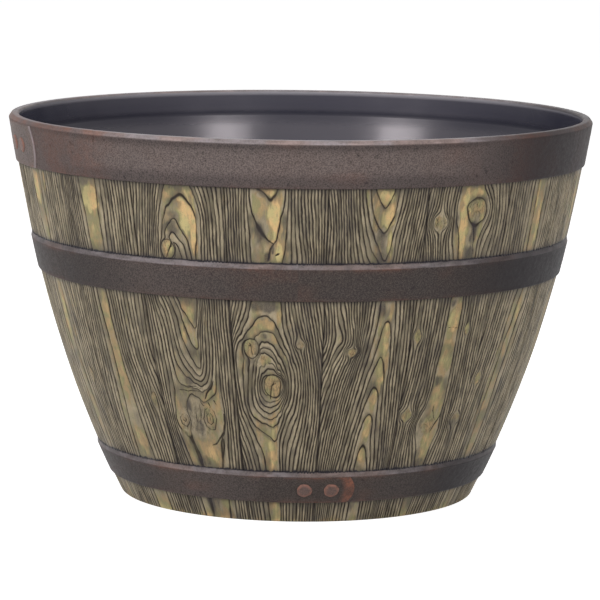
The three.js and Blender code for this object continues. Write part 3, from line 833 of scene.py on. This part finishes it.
def stave_zone(index, zone, t, z):
    """Radius, height and paint fields of one zone of a stave."""
    low, high = ROWS[zone]
    count, face, calm, patch, stroke, turned, height = stave_grain(index, zone, t, z)
    bare = np.maximum(face, calm)
    radius = stave_radius(z)[:, None] + 0 * height
    across = turned * radius * math.pi / 180
    edge = (STAVE_ANGLE / 2 - np.abs(turned)) * radius * math.pi / 180

    def vary(width, length, seed):
        """Noise from -1 to 1 in cells of this size in mm."""
        return noise(across / width, height / length, index + seed)

    # distance between two lines of growth
    rise, turn = np.gradient(count, z, t)
    slope = np.hypot(turn / (radius * math.pi / 180), rise)
    spacing = np.clip(1 / np.maximum(slope, 1e-3), 0.5, 12)

    # grooves, and the finer shape of the wood between them
    half = np.clip(0.20 * spacing, 0.2, 0.5) * (1 + 0.25 * vary(5, 14, 0))
    away = np.abs(count - np.round(count)) * spacing
    groove = (1 - smooth(half * 0.5, half * 1.7, away)) * (1 - bare)
    groove = np.maximum(groove, 1 - smooth(0.5, 1.6, stroke))
    depth = np.clip(0.28 * spacing, 0.3, 0.85) * (0.8 + 0.25 * vary(3, 20, 40))
    swell = 0.25 * vary(22, 45, 80) - 0.25
    fibre = 0.07 * vary(0.9, 12, 120)
    lumps = 0.2 * face + bare * (0.3 * vary(1.5, 2.4, 140) + 0.05 * vary(0.8, 1.3, 0))
    joint = JOINT_DEPTH * (1 - dome(edge / JOINT_ROUND))
    relief = swell - groove * depth + fibre + lumps - joint
    if zone == "foot":
        left = np.clip(FOOT_EDGE - height, 0, FOOT_EDGE)
        relief = relief * smooth(0, 2.5, height) - (FOOT_EDGE - np.sqrt(FOOT_EDGE**2 - left**2))

    # paint: how pale a ridge is brushed
    tan = 0.12 + 0.34 * smooth(2.8, 7.0, spacing)
    tan += (0.66 if zone == "up" else 0.40) * np.clip(patch, 0, 1) + 0.16 * vary(9, 30, 160)
    # painted light: the foot is paler towards the ground, for the light that the floor throws up
    if zone == "foot":
        tan += 0.45 * fade(height, 5)

    # paint: painted shade under each hoop and in the crease above each hoop, and the dark wash that
    # stays at the joints and in clouds
    blot = 0.5 + 0.5 * vary(7, 6, 200)
    frayed = 0.7 + 0.35 * noise(height / 14, 0, index + 220)
    # the first part is painted shade under the hoop above the zone
    wash_and_shade_parts = [0.85 * fade(high - 2.3 - height, 1.6 + 3.0 * blot**2),
              frayed * fade(edge - 0.3, 0.9),
              0.45 * smooth(0.35, 0.9, vary(13, 22, 240)),
              np.clip(np.clip(-patch, 0, 1) * (1.05 + 0.45 * vary(1.6, 7, 260)), 0, 1)]
    if zone != "foot":
        # painted shade in the crease just above the hoop below
        wash_and_shade_parts.append(fade(height - low - 2, 1.8 + 7.0 * blot**2))
    wash_and_shade = 1 - math.prod(1 - part for part in wash_and_shade_parts)
    # and a ragged near-black line of painted shade where the stave meets that hoop
    if zone != "foot":
        ragged = 0.5 * vary(2.5, math.inf, 280) + 0.3 * vary(0.8, math.inf, 300)
        lip = 2.6 + 2 * ragged if zone == "low" else 1.9 + ragged
        wash_and_shade = wash_and_shade + fade(height - low - lip, 0.55)
    return {"count": count, "face": bare, "tan": tan, "wash_and_shade": wash_and_shade, "stroke": stroke,
            "spacing": spacing, "radius": radius + relief, "height": height,
            "grain": np.stack([across + 100 * index, height, 0 * height + index * 7.3], -1)}


def zone_rows(zone):
    low, high = ROWS[zone]
    rows = np.linspace(low, high, round((high - low) / ROW_PITCH) + 1)
    return np.append(FOOT_ROWS, rows[rows > FOOT_ROWS_END]) if zone == "foot" else rows


def make_stave(index, material):
    """One stave from the ground to the top hoop: an embossed face and a plain back."""
    centre = FIRST_JOINT_AZIMUTH + STAVE_ANGLE * (index + 0.5)
    t = np.linspace(-STAVE_ANGLE / 2, STAVE_ANGLE / 2, STAVE_COLUMNS)
    t[[0, -1]] += [STAVE_GAP, -STAVE_GAP]
    zones = [stave_zone(index, zone, t, zone_rows(zone)) for zone in ROWS]
    fields = {key: np.concatenate([zone[key] for zone in zones]) for key in zones[0]}
    radius, height = fields.pop("radius"), fields.pop("height")
    z = height[:, :1]
    back_t = np.linspace(t[0], t[-1], BACK_COLUMNS)
    points = [place(radius, centre + t, height),
              place(stave_radius(z) - BACK_DEPTH, centre + back_t, z)]
    rows, n = len(z), radius.size
    front = np.arange(n).reshape(rows, STAVE_COLUMNS)
    back = n + np.arange(rows * BACK_COLUMNS).reshape(rows, BACK_COLUMNS)
    face = grid_quads(rows, STAVE_COLUMNS)
    quads = [face, grid_quads(rows, BACK_COLUMNS, n)[:, ::-1], *side_quads(front, back)]
    ends = [np.append(back[0], front[0][::-1]), np.append(front[-1], back[-1][::-1])]
    make_object(f"stave_{index + 1:02d}", np.concatenate(points), np.concatenate(quads), material,
                polygons=ends, flat_from=len(face), fields=fields)


# ---- Materials ----

def stave_material():
    g = Graph(bpy.data.materials.new("painted_wood_grain"))
    count, spacing, face = g.field("count"), g.field("spacing"), g.field("face")
    grain = g.field("grain", "Vector")
    _, along, stave = g.split(grain)

    def mottle(scale, detail, roughness):
        return g.noise(g.scaled(grain, scale), 1.0, detail, roughness)

    fibre = mottle((1.3, 0.11, 1), 3, 0.6)
    cloud = mottle((0.20, 0.07, 1), 3, 0.55)
    speck = mottle((1.1, 1.1, 1), 2, 0.6)
    tint = mottle((0.13, 0.10, 3), 2, 0.5)
    dab = mottle((0.55, 0.16, 2), 3, 0.6)
    stain = mottle((0.6, 0.28, 4), 3, 0.6)

    # each line of growth has its own weight, and each ridge between two lines its own tone
    line_id, ridge_id = g.math("ROUND", count), g.math("FLOOR", count)
    weight = g.noise(g.join(line_id * 3.31, along * 0.055, stave), 1.0, 2, 0.5)
    tone = g.noise(g.join(ridge_id * 3.71, along * 0.035, stave + 3), 1.0, 2, 0.5)
    away = g.math("ABSOLUTE", count - line_id) * spacing
    above = (count - ridge_id) * spacing
    half = g.math("MINIMUM", g.math("MAXIMUM", spacing * 0.2, 0.25), 0.48)
    depth = away / (half * g.ease(0.3, 0.7, weight, (0.45, 1.35)))
    bare = 1 - face
    line = g.ease(0.4, 1.8, depth, (1, 0)) * bare * g.ease(0.25, 0.55, weight, (0.55, 1.0))
    stroke = g.ease(0.5, 1.5, g.field("stroke"), (1, 0)) * g.ease(0.3, 0.5, cloud, (0.6, 1.0))
    groove = g.math("MAXIMUM", line, stroke)

    # ridges: dull with dry-brushed cream crests, or tan where the brush went twice
    crest = g.ease(0.25, 0.95, away) * g.ease(0.3, 0.62, tone)
    crest = crest * g.ease(0.3, 0.65, fibre, (0.6, 1.0))
    dull = g.mix(g.ease(0.35, 0.65, tint), rgb(90, 82, 68), rgb(104, 95, 76))
    ridge = g.mix(crest, dull, rgb(173, 159, 133))
    tan = g.field("tan") + (fibre - 0.5) * 0.45 + (cloud - 0.5) * 0.55
    redder = g.ease(0.4, 0.62, tint)
    warm = g.mix(redder, rgb(138, 131, 93), rgb(158, 134, 98))
    bright = g.mix(redder, rgb(186, 171, 120), rgb(206, 172, 122))
    ridge = g.mix(g.ease(0.32, 0.62, tan), ridge, warm)
    ridge = g.mix(g.ease(0.62, 1.0, tan), ridge, bright)
    ridge = g.mix(g.ease(0.52, 0.68, dab, (0, 0.4)), ridge, rgb(116, 114, 92))
    ridge = g.mix(g.ease(0.52, 0.75, speck, (0, 0.3)), ridge, rgb(92, 84, 70))
    ridge = g.mix(g.ease(0.55, 0.8, fibre, (0, 0.2)), ridge, rgb(80, 72, 60))
    ridge = g.mix(g.ease(0.46, 0.62, stain, (0, 0.5)) * face, ridge, rgb(84, 76, 58))

    # soft dark paint left beside a line, on one side of it where the lines are wide apart
    shade = g.ease(0.0, 3.4, above, (0.85, 0.0)) * g.ease(2.6, 5.0, spacing)
    shade = shade * g.ease(0.35, 0.6, cloud, (0.25, 1.0))
    shade = g.math("MAXIMUM", shade, g.ease(0.9, 3.2, depth, (0.42, 0.0))) * bare
    colour = g.mix(shade, ridge, rgb(84, 76, 66))
    dark = g.mix(g.ease(0.4, 0.6, tint), rgb(36, 29, 22), rgb(44, 36, 27))
    colour = g.mix(groove, colour, dark)
    # this field holds dark wash and painted shade at the hoops, and where it passes 1 the
    # near-black painted shade in the crease at a hoop
    wash_and_shade = g.field("wash_and_shade")
    colour = g.mix(wash_and_shade * g.ease(0.25, 0.6, speck, (0.92, 0.69)), colour, rgb(48, 43, 45))
    colour = g.mix(g.ease(0.95, 1.6, wash_and_shade), colour, rgb(24, 21, 27))

    normal = g.bump(groove * -0.5 + fibre * 0.35 + speck * 0.2, 0.6, 0.5)
    return g.surface(colour, g.ease(0, 1, groove, (0.52, 0.75)), 0.25, normal)


def hoop_material():
    g = Graph(bpy.data.materials.new("painted_hoop_iron"))
    where = g.where()
    grit = g.noise(where, 880, 2, 0.7)
    fine = g.noise(where, 330, 3, 0.6)
    broad = g.noise(where, 22, 3, 0.55)
    pits = g.noise(where, 210, 2, 0.5)
    tone, wear, pale = g.field("tone"), g.field("wear"), g.field("pale")
    base = g.mix(tone, rgb(100, 90, 87), rgb(64, 58, 56))
    browner = g.mix(tone, rgb(102, 88, 83), rgb(69, 59, 54))
    base = g.mix(g.ease(0.35, 0.7, broad, (0, 0.5)), base, browner)
    grains = g.mix(tone, rgb(122, 109, 105), rgb(88, 79, 75))
    base = g.mix(g.ease(0.48, 0.64, grit, (0, 0.6)), base, grains)
    base = g.mix(g.ease(0.5, 0.38, grit, (0, 0.5)), base, rgb(38, 34, 35))
    base = g.mix(g.ease(0.36, 0.24, pits, (0, 0.7)), base, rgb(42, 38, 40))
    worn = wear * g.ease(0.38, 0.6, broad, (0.2, 1.0)) * g.ease(0.3, 0.6, fine, (0.4, 1.0))
    colour = g.mix(worn, base, rgb(142, 92, 74))
    # pale paint on the bevels and edges, which also stands as a painted highlight
    brushed_and_highlight = g.mix(g.ease(0.45, 0.6, broad), rgb(160, 151, 154), rgb(164, 145, 141))
    colour = g.mix(pale * g.ease(0.3, 0.6, fine, (0.65, 1.0)), colour, brushed_and_highlight)
    # a pale painted highlight on the rim's inner round and flat top
    colour = g.mix(g.field("inner"), colour, rgb(160, 157, 163))
    # painted shade from the shade field
    colour = g.mix(g.field("shade"), colour, rgb(34, 31, 34))
    normal = g.bump(fine * 0.5 + pits * 0.6 + grit * 0.35, 0.5, 0.4)
    rough = g.ease(0.3, 0.7, fine, (0.50, 0.62)) - pale * 0.18
    return g.surface(colour, rough, 0.12, normal)


def inside_material():
    g = Graph(bpy.data.materials.new("bare_dark_resin"))
    where = g.where()
    height = g.split(where)[2]
    broad = g.noise(where, 9, 3, 0.5)
    fine = g.noise(where, 420, 2, 0.5)
    cloudy = g.noise(where, 30, 3, 0.5)
    colour = g.mix(g.ease(0.3, 0.7, broad), rgb(44, 45, 59), rgb(51, 51, 64))
    # a pale painted highlight at the mouth, painted shade darkening the inside from just below the
    # collar down, and a dull corner under the collar (heights in m)
    colour = g.mix(g.ease(0.3335, 0.3366, height, (0, 0.85)), colour, rgb(146, 143, 150))
    colour = g.mix(g.ease(0.325, 0.316, height, (0, 0.6)), colour, rgb(36, 36, 46))
    corner = g.ease(0.303, 0.314, height) * g.ease(0.321, 0.317, height)
    rough = g.ease(0.3, 0.7, cloudy, (0.2, 0.25)) + corner * 0.1
    return g.surface(colour, rough, 0.8 - corner * 0.4, g.bump(fine, 0.05, 0.3),
                     **{"Specular Tint": (1.0, 0.92, 0.95, 1.0)})


def plug_material():
    g = Graph(bpy.data.materials.new("soft_black_plastic"))
    where = g.where()
    fine = g.noise(where, 900, 2, 0.5)
    broad = g.noise(where, 60, 2, 0.5)
    colour = g.mix(g.ease(0.3, 0.7, broad), rgb(40, 42, 47), rgb(52, 54, 60))
    return g.surface(colour, g.ease(0.3, 0.7, broad, (0.45, 0.6)), 0.5, g.bump(fine, 0.15, 0.2))


# ---- Hoops, laps and rivets ----

def dents(along, z):
    return 0.10 * noise(along / 5.0, z / 5.0, 5) + 0.06 * noise(along / 2.2, z / 2.2, 6)


def hoop_outline(name):
    """Points of (radius, z) up the hoop's face, over its top and down its back."""
    bottom, face_top, top, _ = HOOPS[name]
    first = float(hoop_face(bottom))
    points = wall_points(stave_radius, [bottom], HOOP_DEPTH)
    points += [(first - 0.7, bottom), (first - 0.2, bottom + 0.25)]
    points += wall_points(hoop_face, np.linspace(bottom + 0.8, face_top - 0.5, 24))
    if name == "top":
        edge = RIM_RADIUS - RIM_BEVEL_WIDTH
        inner = MOUTH_RADIUS + RIM_INNER_ROUND
        points += [(RIM_RADIUS - 0.35, face_top + 0.2), (RIM_RADIUS - 0.7, face_top + 0.7)]
        points += straight((RIM_RADIUS - 1.0, face_top + 1.1), (edge + 0.5, HEIGHT - 0.5),
                           np.linspace(0, 1, 4))
        points += [(edge - 0.1, HEIGHT - 0.2), (edge - 0.9, HEIGHT - 0.02)]
        points += straight((edge, HEIGHT), (inner, HEIGHT), (0.35, 0.6, 0.85))
        points += arc((inner, HEIGHT - RIM_INNER_ROUND), RIM_INNER_ROUND, 90, 180)
        points += [(MOUTH_RADIUS, HEIGHT - 3.2), (MOUTH_RADIUS + 3, HEIGHT - 3.6)]
        points += wall_points(stave_radius, (HEIGHT - 5, HEIGHT - 20), HOOP_DEPTH)
    else:
        last, out = float(hoop_face(face_top)), float(stave_radius(top))
        points += [(last + 0.02, face_top - 0.1), (last - 0.15, face_top + 0.35)]
        points += straight((last - 0.3, face_top + 0.7), (out - 0.4, top), np.linspace(0, 1, 5))
        points += [(out - HOOP_DEPTH, top)]
    return np.array(points)


def make_hoop(name, material):
    bottom, face_top, top, _ = HOOPS[name]
    is_top = name == "top"
    outline = hoop_outline(name)
    rows, columns = len(outline), HOOP_COLUMNS
    flat_radius, z = outline[:, :1], outline[:, 1:]
    azimuth = np.arange(columns) * 360 / columns
    turned = (azimuth + 180) % 360 - 180
    along = azimuth * math.pi / 180 * HOOP_UNROLL

    # a dented face, and a ragged upper edge where the wood's paint meets the bevel
    on_face = smooth(bottom, bottom + 1.5, z) * (1 - smooth(face_top - 0.5, face_top + 1, z))
    on_face = on_face * (flat_radius > stave_radius(z) + 0.5)
    wave = 0.15 * noise(along / 60, z / 40, 7)
    radius = flat_radius + on_face * (dents(along, z) + wave - 0.22)
    height = z + 0 * along
    if not is_top:
        on_bevel = (z > face_top + 0.2) & (radius > stave_radius(z) - 0.8)
        ragged = 0.35 * noise(along / 3.0, 0, 8) + 0.25 * noise(along / 11, 0, 9)
        height = height + np.where(on_bevel, ragged * smooth(face_top, top, z), 0)
    radius = np.minimum(radius, RIM_RADIUS - 0.24)

    # reddish wear, and pale paint on the bevel that is also a painted highlight
    bevel = smooth(face_top - 0.2, face_top + 0.8, z)
    near_low, near_high = fade(np.abs(z - bottom), 1.3), fade(np.abs(z - face_top), 1.6)
    patchy = 0.35 + 0.65 * smooth(-0.2, 0.7, noise(along / 26, z / 12, 21))
    wear = (0.35 * near_low + (0.1 if is_top else 0.35) * near_high) * patchy
    wear = np.clip(wear + 0.12 * smooth(0.35, 0.95, noise(along / 40, z / 14, 22)), 0, 1)
    reddish = smooth(30, 48, np.abs(turned)) * (1 - smooth(75, 100, np.abs(turned))) * is_top
    wear = wear * (1 - 0.5 * bevel) + reddish * (0.3 + 0.4 * bevel)
    pale = bevel * (1.0 if is_top else 0.6) * (0.62 + 0.3 * noise(along / 8, z / 2, 23))

    # painted shade: the top hoop is darker along its lower edge and just under its bevel, the
    # others along their top edge, and all of them towards their right and left sides
    if is_top:
        shade = np.maximum(0.42 * (1 - smooth(bottom + 6, bottom + 15, z)),
                           0.5 * fade(face_top - 3 - z, 2.5)) * (1 - bevel)
    else:
        shade = 0.5 * fade(top - z, 0.5)
    # painted shade on the sides, stronger on the right than on the left
    right = 0.9 * smooth(24, 54, turned) * (1 - smooth(105, 140, turned))
    left = 0.4 * smooth(-34, -58, turned) * smooth(-140, -105, turned)
    shade = np.maximum(shade, (right + left) * (1 - 0.2 * bevel))

    # the bare resin of the inside starts on the rim; its inner round and, fainter, its flat top get
    # a pale painted highlight
    in_mouth = (flat_radius < MOUTH_RADIUS + 3.6) & (z > HEIGHT - 8)
    flat_top = smooth(RIM_RADIUS - 3.0, RIM_RADIUS - 3.9, flat_radius) * (z > HEIGHT - 0.5)
    inner = np.maximum(smooth(HEIGHT - 0.4, HEIGHT - 2.4, z) * in_mouth, 0.4 * flat_top)
    tone = {"top": 0.0, "middle": 1.0, "lower": 0.9}[name]
    # a lighter tone around azimuth -30 on the middle and lower hoops is a painted sheen
    if not is_top:
        tone = tone - 0.25 * np.exp(-((turned + 30) / 16) ** 2)
    fields = {"wear": wear, "pale": pale * (1 - 0.7 * reddish), "shade": shade, "inner": inner,
              "tone": tone}
    fields = {key: np.broadcast_to(value, (rows, columns)) for key, value in fields.items()}
    make_object(f"hoop_{name}", place(radius, azimuth, height), ring_quads(rows, columns),
                material, fields=fields)


def make_lap(name, material):
    """The lapped end of a hoop: a band that rises from the hoop to a round end."""
    bottom, face_top, _, lap = HOOPS[name]
    low, high = bottom + 0.15, face_top - 0.25
    rows, columns = LAP_ROWS, LAP_COLUMNS
    u, v = np.linspace(0, 1, columns)[None, :], np.linspace(0, 1, rows)[:, None]
    z = low + v * (high - low) + 0 * u
    length = LAP_LENGTH + LAP_END_BULGE * (1 - (2 * v - 1) ** 2)
    radius = hoop_face(z)
    azimuth = lap + np.degrees((u * length - LAP_LENGTH) / radius)
    to_end = (1 - u) * length
    to_side = np.minimum(v, 1 - v) * (high - low)
    risen = np.clip(u * length / LAP_FADE, 0, 1)
    lift = LAP_RELIEF * risen * dome(to_end / 1.2) * dome((to_side + 0.25) / 0.9)
    along = np.radians(azimuth) * HOOP_UNROLL
    lift = lift + (dents(along, z) - 0.2) * risen * dome(to_end / 3) * dome(to_side / 2)
    points = [place(radius + lift - 0.02, azimuth, z), place(radius - LAP_DEPTH, azimuth, z)]
    n = rows * columns
    front = np.arange(n).reshape(rows, columns)
    back = front + n
    quads = [grid_quads(rows, columns), grid_quads(rows, columns, n)[:, ::-1],
             *side_quads(front, back), strip(back[0], front[0]), strip(front[-1], back[-1])]
    patchy = 0.5 + 0.5 * smooth(-0.4, 0.6, noise(along / 9, z / 6, 31))
    wear = 0.95 * fade(to_end, 2.2) + 0.35 * fade(to_side, 1.5)
    if name == "lower":
        wear = wear + 0.75 * (1 - smooth(5, 12, to_end))
    else:
        wear = wear + 0.25 * (1 - smooth(4, 16, to_end))
    pale = 0.9 * fade(np.abs(to_end - 0.6), 0.7) * (name != "lower") * risen
    tone = np.full((rows, columns), 0.0 if name == "top" else 1.0)
    fields = {"wear": np.clip(wear * patchy, 0, 1) * risen, "pale": pale, "tone": tone}
    fields = {key: np.tile(value, (2, 1)) for key, value in fields.items()}
    make_object(f"lap_{name}", np.concatenate(points), np.concatenate(quads), material,
                fields={**fields, "shade": 0, "inner": 0})


def make_rivet(name, number, material):
    bottom, face_top, _, lap = HOOPS[name]
    z = (bottom + face_top) / 2
    face = float(hoop_face(z))
    to_end = TOP_RIVET_END_DISTANCE if name == "top" else RIVET_END_DISTANCE
    azimuth = lap - math.degrees((to_end + RIVET_PITCH * (number - 1)) / face)
    outline = [(RIVET_RADIUS - inset, rise) for inset, rise in
               ((0, -0.9), (0, 0.25), (0.25, 0.6), (0.8, 0.9))]
    outline += [(RIVET_RADIUS * s, RIVET_HEIGHT * (1 - 0.22 * s**2)) for s in
                (0.75, 0.6, 0.45, 0.3, 0.15)]
    outline = np.array(outline)
    turn = np.arange(RIVET_COLUMNS) * 2 * math.pi / RIVET_COLUMNS
    r = outline[:, :1] * (1 + 0.03 * np.sin(3 * turn + number) + 0.02 * np.sin(7 * turn))
    x, y = r * np.cos(turn), r * np.sin(turn)
    rise = outline[:, 1:] + 0.10 * noise(x / 2.2, y / 2.2, number + 50)

    # from the rivet's own plane to the hoop's slope at the front, and round to its azimuth
    lean = float(stave_lean(z))
    side = np.array([1.0, 0, 0])
    up = np.array([0, -math.sin(lean), math.cos(lean)])
    out = np.array([0, -math.cos(lean), -math.sin(lean)])
    base = np.array([0, -(face + LAP_RELIEF - 0.25), z])
    points = base + x[..., None] * side + y[..., None] * up + rise[..., None] * out
    points = turn_about_z(points.reshape(-1, 3), azimuth)
    n = len(points)
    ring = np.arange(RIVET_COLUMNS)
    worn = smooth(0.5, 0.95, r / RIVET_RADIUS)
    fields = {"wear": 0.2 + 0.6 * worn, "pale": np.full(n, 0.15), "shade": 0, "inner": 0,
              "tone": np.full(n, 0.0 if name == "top" else 1.0)}
    make_object(f"rivet_{name}_{number}", points,
                grid_quads(len(outline), RIVET_COLUMNS, closed=True), material,
                polygons=[n - RIVET_COLUMNS + ring, ring[::-1]], fields=fields)


# ---- Inside, floor and underside ----

def make_core(material):
    """The inside, the floor and what lies under the staves, as one turned piece with its holes."""
    wall_bottom = FLOOR_TOP + INNER_CORNER
    floor_edge = float(inner_radius(FLOOR_TOP))
    corner = curve((floor_edge - INNER_CORNER, FLOOR_TOP), (floor_edge, FLOOR_TOP),
                   (float(inner_radius(wall_bottom)), wall_bottom), np.linspace(0, 1, 9))
    wall_top = COLLAR_BOTTOM - COLLAR_BLEND
    wall = wall_points(inner_radius, np.linspace(wall_bottom, wall_top, 40)[1:])
    before, low = wall[-2:]
    slope = (low[0] - before[0]) / (low[1] - before[1])
    bend = (low[0] + slope * COLLAR_BLEND_BEND, low[1] + COLLAR_BLEND_BEND)
    step = (MOUTH_RADIUS - COLLAR_STEP, COLLAR_BOTTOM - COLLAR_STEP_HEIGHT)
    collar = curve(low, bend, step, np.linspace(0, 1, 9)[1:])
    collar += [(step[0] + out, step[1] + up) for out, up in ((0.03, 2.5), (0.10, 4.5), (0.25, 6.5))]
    collar += straight(collar[-1], (MOUTH_RADIUS, HEIGHT - 2.6), np.linspace(0, 1, 7)[1:])
    inside = [(r, FLOOR_TOP) for r in CORE_FLOOR_RADII] + corner + wall + collar
    outside = wall_points(stave_radius, np.linspace(HEIGHT - 4.5, 3, 60), CORE_DEPTH)
    foot = [(FOOT_RADIUS - CORE_DEPTH - 1, 0.6), (FOOT_INNER_RADIUS + 1.2, 0.3),
            (FOOT_INNER_RADIUS + 0.3, 0.6), (FOOT_INNER_RADIUS, 1.4),
            (FOOT_INNER_RADIUS, FLOOR_BOTTOM - 0.6), (FOOT_INNER_RADIUS - 0.6, FLOOR_BOTTOM)]
    foot += [(r, FLOOR_BOTTOM) for r in CORE_FLOOR_RADII[::-1]]
    outline = np.array(inside + outside + foot)[::-1]
    ring = np.arange(CORE_COLUMNS)
    points = place(outline[:, :1], ring * 360 / CORE_COLUMNS, outline[:, 1:])
    core = make_object("planter_core", points, grid_quads(len(outline), CORE_COLUMNS, closed=True),
                       material, polygons=[ring[::-1], len(points) - CORE_COLUMNS + ring])
    for i in range(DRAIN_COUNT):
        at = place(DRAIN_RING_RADIUS, FIRST_DRAIN_AZIMUTH + i * 360 / DRAIN_COUNT,
                   (FLOOR_BOTTOM + FLOOR_TOP) / 2)[0] / 1000
        bpy.ops.mesh.primitive_cylinder_add(vertices=DRILL_COLUMNS, radius=DRAIN_RADIUS / 1000,
                                            depth=DRILL_LENGTH / 1000, location=at)
        drill = bpy.context.object
        apply_modifier(core, "BOOLEAN", operation="DIFFERENCE", solver="EXACT", object=drill)
        bpy.data.objects.remove(drill)
    core.data.polygons.foreach_set("use_smooth", np.ones(len(core.data.polygons), bool))
    core.data.set_sharp_from_angle(angle=math.radians(35))
    return core


def make_ribs(material):
    """The ribs and hub under the floor, one joined piece."""
    low, high = FLOOR_BOTTOM - RIB_DEPTH, FLOOR_BOTTOM + 0.5
    near, far = -(HUB_RADIUS + HUB_BORE_RADIUS) / 2, -FOOT_INNER_RADIUS - 0.5
    half = RIB_THICKNESS / 2
    rib = np.array([[x, y, z] for z in (low, high) for y in (far, near) for x in (-half, half)])
    rib_quads = np.array([[0, 2, 3, 1], [4, 5, 7, 6], [0, 1, 5, 4], [1, 3, 7, 5], [3, 2, 6, 7],
                          [2, 0, 4, 6]])
    points = [turn_about_z(rib, i * 360 / RIB_COUNT) for i in range(RIB_COUNT)]
    quads = [rib_quads + i * len(rib) for i in range(RIB_COUNT)]
    section = np.array([(HUB_BORE_RADIUS, high), (HUB_BORE_RADIUS, low), (HUB_RADIUS, low),
                        (HUB_RADIUS, high)])
    azimuth = np.arange(HUB_COLUMNS) * 360 / HUB_COLUMNS
    points.append(place(section[:, :1], azimuth, section[:, 1:]))
    quads.append(ring_quads(len(section), HUB_COLUMNS, RIB_COUNT * len(rib)))
    ribs = make_object("underside_ribs", np.concatenate(points), np.concatenate(quads), material)
    apply_modifier(ribs, "BEVEL", width=RIB_EDGE / 1000, segments=2, limit_method="ANGLE")
    ribs.data.set_sharp_from_angle(angle=math.radians(40))


# ---- Build ----

for panel in PANELS.values():
    panel["sheet"] = fit_sheet(panel["lines"])

wood = stave_material()
hoop_paint = hoop_material()
resin = inside_material()
rubber = plug_material()

core = make_core(resin)
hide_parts("planter_shell")
make_ribs(resin)
for index in range(STAVE_COUNT):
    make_stave(index, wood)
for name in HOOPS:
    make_hoop(name, hoop_paint)
    make_lap(name, hoop_paint)
    for number in (1, 2):
        make_rivet(name, number, hoop_paint)
for node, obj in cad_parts.items():
    if node.startswith("drain_plug"):
        obj.data.materials.clear()
        obj.data.materials.append(rubber)

# ---- Stage ----

WHITE = (1, 1, 1, 1)
MATTE = (0.8, 0.8, 0.8, 1)
FLOOR_SIZE = 24
FLOOR_DROP = 0.0005    # so that the foot doesn't share the floor's plane
FLOOR_GLOW = 0.85      # makes the lit floor white to the camera and in reflections
WORLD_LIGHT = 0.19     # what the white background gives as light
LAMPS_LOOK_AT = 0.2    # height in metres


def seen_directly(g):
    """1 on rays from the camera, by reflection or through glass, and 0 on light that is spread."""
    rays = [g.add("LightPath", {}, f"Is {kind} Ray")
            for kind in ("Camera", "Glossy", "Transmission")]
    return g.math("MAXIMUM", rays[0], g.math("MAXIMUM", rays[1], rays[2]))


def white_floor():
    g = Graph(bpy.data.materials.new("studio_floor"))
    matte = g.add("BsdfDiffuse", {"Color": MATTE}, 0)
    glow = {"Color": WHITE, "Strength": seen_directly(g) * FLOOR_GLOW}
    both = g.add("AddShader", {0: matte, 1: g.add("Emission", glow, 0)}, 0)
    g.add("OutputMaterial", {"Surface": both}, None)
    return g.owner


def white_world():
    g = Graph(bpy.data.worlds.new("studio"))
    strength = g.ease(0, 1, seen_directly(g), (WORLD_LIGHT, 1.0))
    sky = g.add("Background", {"Color": WHITE, "Strength": strength}, 0)
    g.add("OutputWorld", {"Surface": sky}, None)
    return g.owner


def softbox(name, azimuth, elevation, distance, width, height, watts):
    """A lamp that looks at the planter's middle. Lengths are in metres, angles in degrees."""
    a, e = math.radians(azimuth), math.radians(elevation)
    light = bpy.data.lights.new(name, "AREA")
    light.shape = "RECTANGLE"
    light.size, light.size_y = width, height
    light.energy = watts
    lamp = bpy.data.objects.new(name, light)
    bpy.context.scene.collection.objects.link(lamp)
    lamp.location = (distance * math.sin(a) * math.cos(e), -distance * math.cos(a) * math.cos(e),
                     LAMPS_LOOK_AT + distance * math.sin(e))
    lamp.rotation_euler = (math.radians(90) - e, 0, a)


bpy.ops.mesh.primitive_plane_add(size=FLOOR_SIZE, location=(0, 0, -FLOOR_DROP))
floor = bpy.context.object
floor.name = "studio_floor"
floor.data.materials.append(white_floor())
bpy.context.scene.world = white_world()

softbox("key_right", 35, 27, 2.6, 0.8, 0.85, 25)
softbox("key_left", -47, 29, 2.6, 0.9, 1.1, 36)
softbox("fill_front", -8, 32, 3.8, 1.8, 1.2, 13)
softbox("fill_back", 180, 38, 3.2, 1.6, 1.2, 7)

# The photograph's viewpoint, in metres and degrees
CAMERA_PLACE = (0, -3.1015, 0.6113)
CAMERA_DOWN = 8.087
CAMERA_ROLL = 0.701

lens = bpy.data.cameras.new("view")
lens.sensor_width = 36.0
lens.lens = 209.05
lens.shift_x = 0.0024
lens.clip_end = 100
camera = bpy.data.objects.new("view", lens)
bpy.context.scene.collection.objects.link(camera)
bpy.context.scene.camera = camera
camera.location = CAMERA_PLACE
tilt = Matrix.Rotation(math.radians(90 - CAMERA_DOWN), 4, "X")
camera.rotation_euler = (tilt @ Matrix.Rotation(math.radians(CAMERA_ROLL), 4, "Z")).to_euler()

bpy.context.scene.view_settings.view_transform = "Standard"
